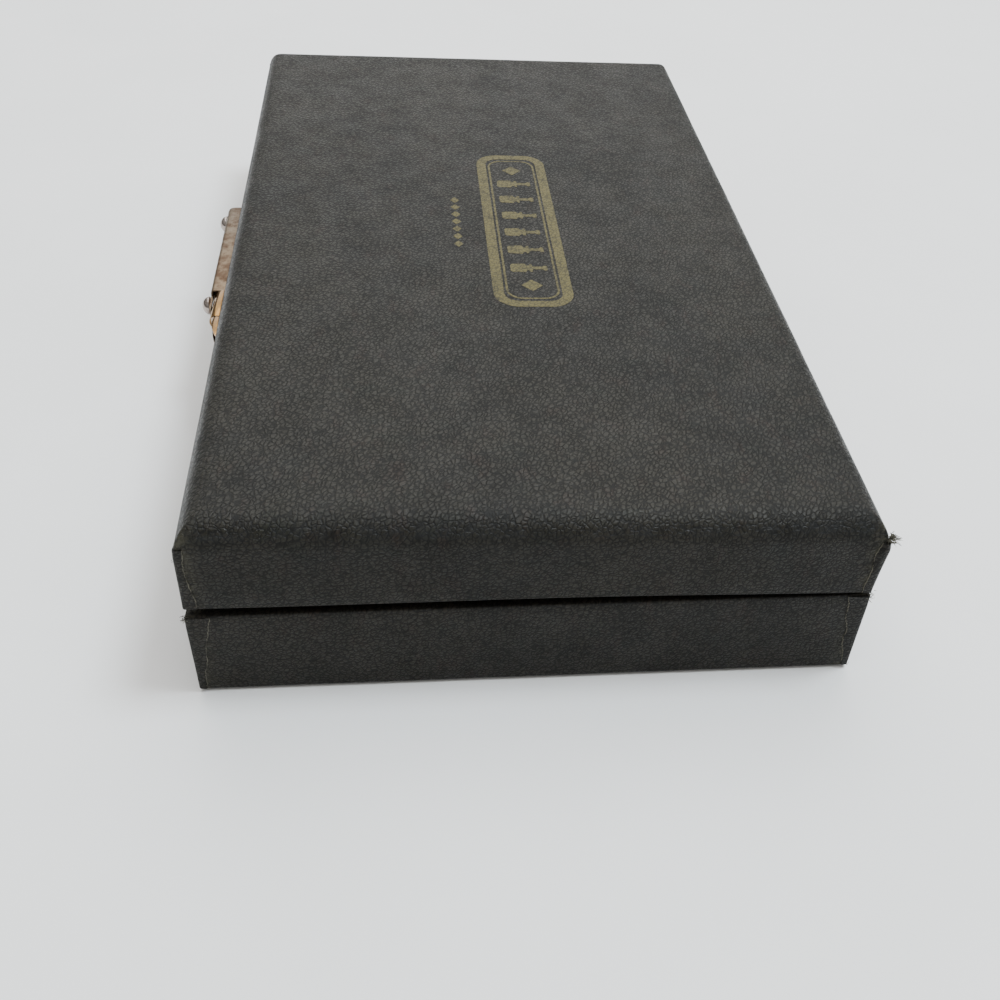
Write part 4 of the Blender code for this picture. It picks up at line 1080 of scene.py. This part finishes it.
def handle_stations(shank):
    """(x, radius, knurl) along a handle, from its bore under the cap to its nose."""
    start = [(-57.3, 1.3), (-60.95, 1.3), (-61.0, 1.4), (-61.0, 2.5), (-60.95, 2.6), (-60.3, 3.3)]
    start += [(-60.1, 3.5), (-59.9, 3.6)]
    stations = [(x * MM, r * MM, 0.0) for x, r in start]
    step = KNURL_PITCH / 4
    low = math.ceil(-59.6 * MM / step)
    high = math.floor(-27.5 * MM / step)
    for index in range(low, high + 1):
        ends = min(index - low, high - index)
        stations.append((index * step, HANDLE_RADIUS, min(1.0, ends / 3)))
    waist = [(-27.25, 3.6), (-27.0, 3.5), (-26.6, 3.28), (-26.0, 3.06), (-25.0, 2.93), (-23.5, 2.83)]
    waist += [(-22.0, 2.80), (-20.8, 2.84), (-20.0, 2.98), (-19.4, 3.16), (-19.1, 3.26), (-18.9, 3.3)]
    waist += [(-17.4, 3.3), (-17.3, 3.15), (-17.1, 3.15), (-17.0, 3.3), (-15.55, 3.3), (-15.4, 3.18)]
    waist += [(-15.4, 2.6), (-11.9, 2.6), (-11.6, 2.52), (-11.25, 2.26), (-11.2, 2.14)]
    stations += [(x * MM, r * MM, 0.0) for x, r in waist]
    bore = shank + 0.1 * MM
    stations += [(-11.2 * MM, bore, 0.0), (-20.5 * MM, bore, 0.0)]
    return stations


def cap_stations():
    """(x, radius, fluting) along a swivel cap, from its stud to the bottom of its dish."""
    neck = [(-57.6, 1.1), (-61.1, 1.1), (-61.2, 1.25), (-61.2, 2.1), (-61.3, 2.2), (-62.4, 2.2)]
    neck += [(-62.5, 2.3), (-63.0, 3.2), (-63.2, 3.45)]
    rim = [(-63.45, 3.55), (-63.6, 3.6), (-65.0, 3.6), (-66.6, 3.6), (-66.8, 3.56)]
    dish = [(-67.3, 3.58), (-67.7, 3.42), (-67.95, 3.2), (-68.0, 3.0), (-67.92, 2.6), (-67.72, 2.0)]
    dish += [(-67.52, 1.3), (-67.42, 0.6)]
    stations = [(x * MM, r * MM, 0.0) for x, r in neck]
    stations += [(x * MM, r * MM, 1.0 if 0 < i < 4 else 0.0) for i, (x, r) in enumerate(rim)]
    return stations + [(x * MM, r * MM, 0.0) for x, r in dish]


def blade_section(kind, half_y, half_z, square, steps=32):
    """Closed section of a blade: round, squared off, or with four valleys for a cross point."""
    points = []
    for step in range(steps):
        angle = 2 * math.pi * (step + 0.5) / steps
        c, s = math.cos(angle), math.sin(angle)
        if kind == "slotted":
            stretch = 1 + square * (1 / max(abs(c), abs(s)) - 1)
            points.append((half_y * c * stretch, half_z * s * stretch))
        else:
            reach = half_y * (1 - (1 - half_z) * (0.5 - 0.5 * math.cos(4 * angle)))
            points.append((reach * c, reach * s))
    return points


def blade_stations(kind, width, shank, tip_x):
    """(x, half width, half thickness or valley, squareness) along a blade."""
    start = -20.2 * MM
    if kind == "slotted":
        flat, tip = 6 * width, max(0.25 * width, 0.25 * MM)
        keys = [
            (start, shank, shank, 0.0),
            (tip_x - flat - 2 * MM, shank, shank, 0.0),
            (tip_x - flat, max(width / 2, shank) * 1.05, shank * 0.70, 0.3),
            (tip_x - 0.5 * flat, width / 2 * 1.1, tip * 0.9, 0.9),
            (tip_x - 0.08 * MM, width / 2, tip / 2 * 1.1, 1.0),
            (tip_x, width / 2 - 0.05 * MM, tip / 2 * 0.8, 1.0),
        ]
    else:
        point = 2.6 * shank
        keys = [
            (start, shank, 1.0, 0.0),
            (tip_x - point - 1.5 * MM, shank, 1.0, 0.0),
            (tip_x - point, shank, 0.72, 0.0),
            (tip_x - 0.3 * point, shank * 0.62, 0.50, 0.0),
            (tip_x - 0.1 * MM, width * 0.50, 0.60, 0.0),
            (tip_x, width * 0.38, 0.70, 0.0),
        ]
    stations = [keys[0]]
    for low, high in zip(keys, keys[1:]):
        for step in range(1, 6):
            t = step / 5
            eased = t * t * (3 - 2 * t)
            x = low[0] + (high[0] - low[0]) * t
            stations.append((x, *(a + (b - a) * eased for a, b in zip(low[1:], high[1:]))))
    return stations


def add_driver(index, steels):
    kind, width, shank, tip_x = DRIVERS[index]
    handle_steel, blade_steel = steels
    number = index + 1
    y = (index - 2.5) * DRIVER_PITCH
    centre = (y, DRIVER_AXIS_Z)
    ring_name, ring_colour = RINGS[index]

    bm = carved(cap_stations(), 2 * FLUTES, centre, flute_cut)
    cap = link_mesh(f"driver_{number}_swivel_cap", bm, handle_steel, 40)
    bm = carved(handle_stations(shank), 4 * KNURL_TEETH, centre, knurl_cut)
    handle = link_mesh(f"driver_{number}_knurled_handle", bm, handle_steel, 32)
    profile = [(-15.1, 2.7), (-13.1, 2.7), (-13.0, 2.8), (-13.0, 3.18), (-13.12, 3.3), (-15.08, 3.3)]
    profile += [(-15.2, 3.18), (-15.2, 2.8)]
    profile = [(x * MM, r * MM) for x, r in profile]
    bm = turned(profile, (0, y, DRIVER_AXIS_Z), "x", 48, closed=True)
    plastic = ring_plastic(f"{ring_name}_plastic", ring_colour)
    ring = link_mesh(f"driver_{number}_colour_ring", bm, plastic, 50)
    loops = []
    for x, half_y, half_z, square in blade_stations(kind, width, shank, tip_x):
        section = blade_section(kind, half_y, half_z, square)
        loops.append([(x, y + a, DRIVER_AXIS_Z + b) for a, b in section])
    blade = link_mesh(f"driver_{number}_ground_blade", join_loops(loops), blade_steel, 40)

    parts = ((cap, "cap", "handle_metal"), (handle, "handle", "handle_metal"),
             (ring, "ring", ring_name), (blade, "blade", "blade_steel"))
    for piece, kind_of_part, slot in parts:
        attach(piece, f"driver_{number}_cap" if kind_of_part == "cap" else f"driver_{number}")
        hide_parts(f"driver_{number}_{kind_of_part}")


def add_drivers():
    steels = (
        turned_steel("plated_handles", (0.66, 0.64, 0.60), 0.20),
        turned_steel("ground_blades", (0.40, 0.40, 0.41), 0.28),
    )
    for index in range(len(DRIVERS)):
        add_driver(index, steels)


# ---- Floor ----
def add_floor():
    bm = bmesh.new()
    bmesh.ops.create_grid(bm, x_segments=8, y_segments=8, size=3.0)
    floor = link_mesh("floor", bm, painted_floor("pale_table"))
    floor.location.z = -0.15 * MM


# ---- Assembly ----
add_camera()
add_lights()
add_floor()
leather = leatherette("worn_leatherette")
wrap_lid(leather)
wrap_base(leather)
add_ornament()
add_folds_and_fraying(leather)
add_metalwork()
add_case_insides(satin("champagne_satin"))
add_drivers()
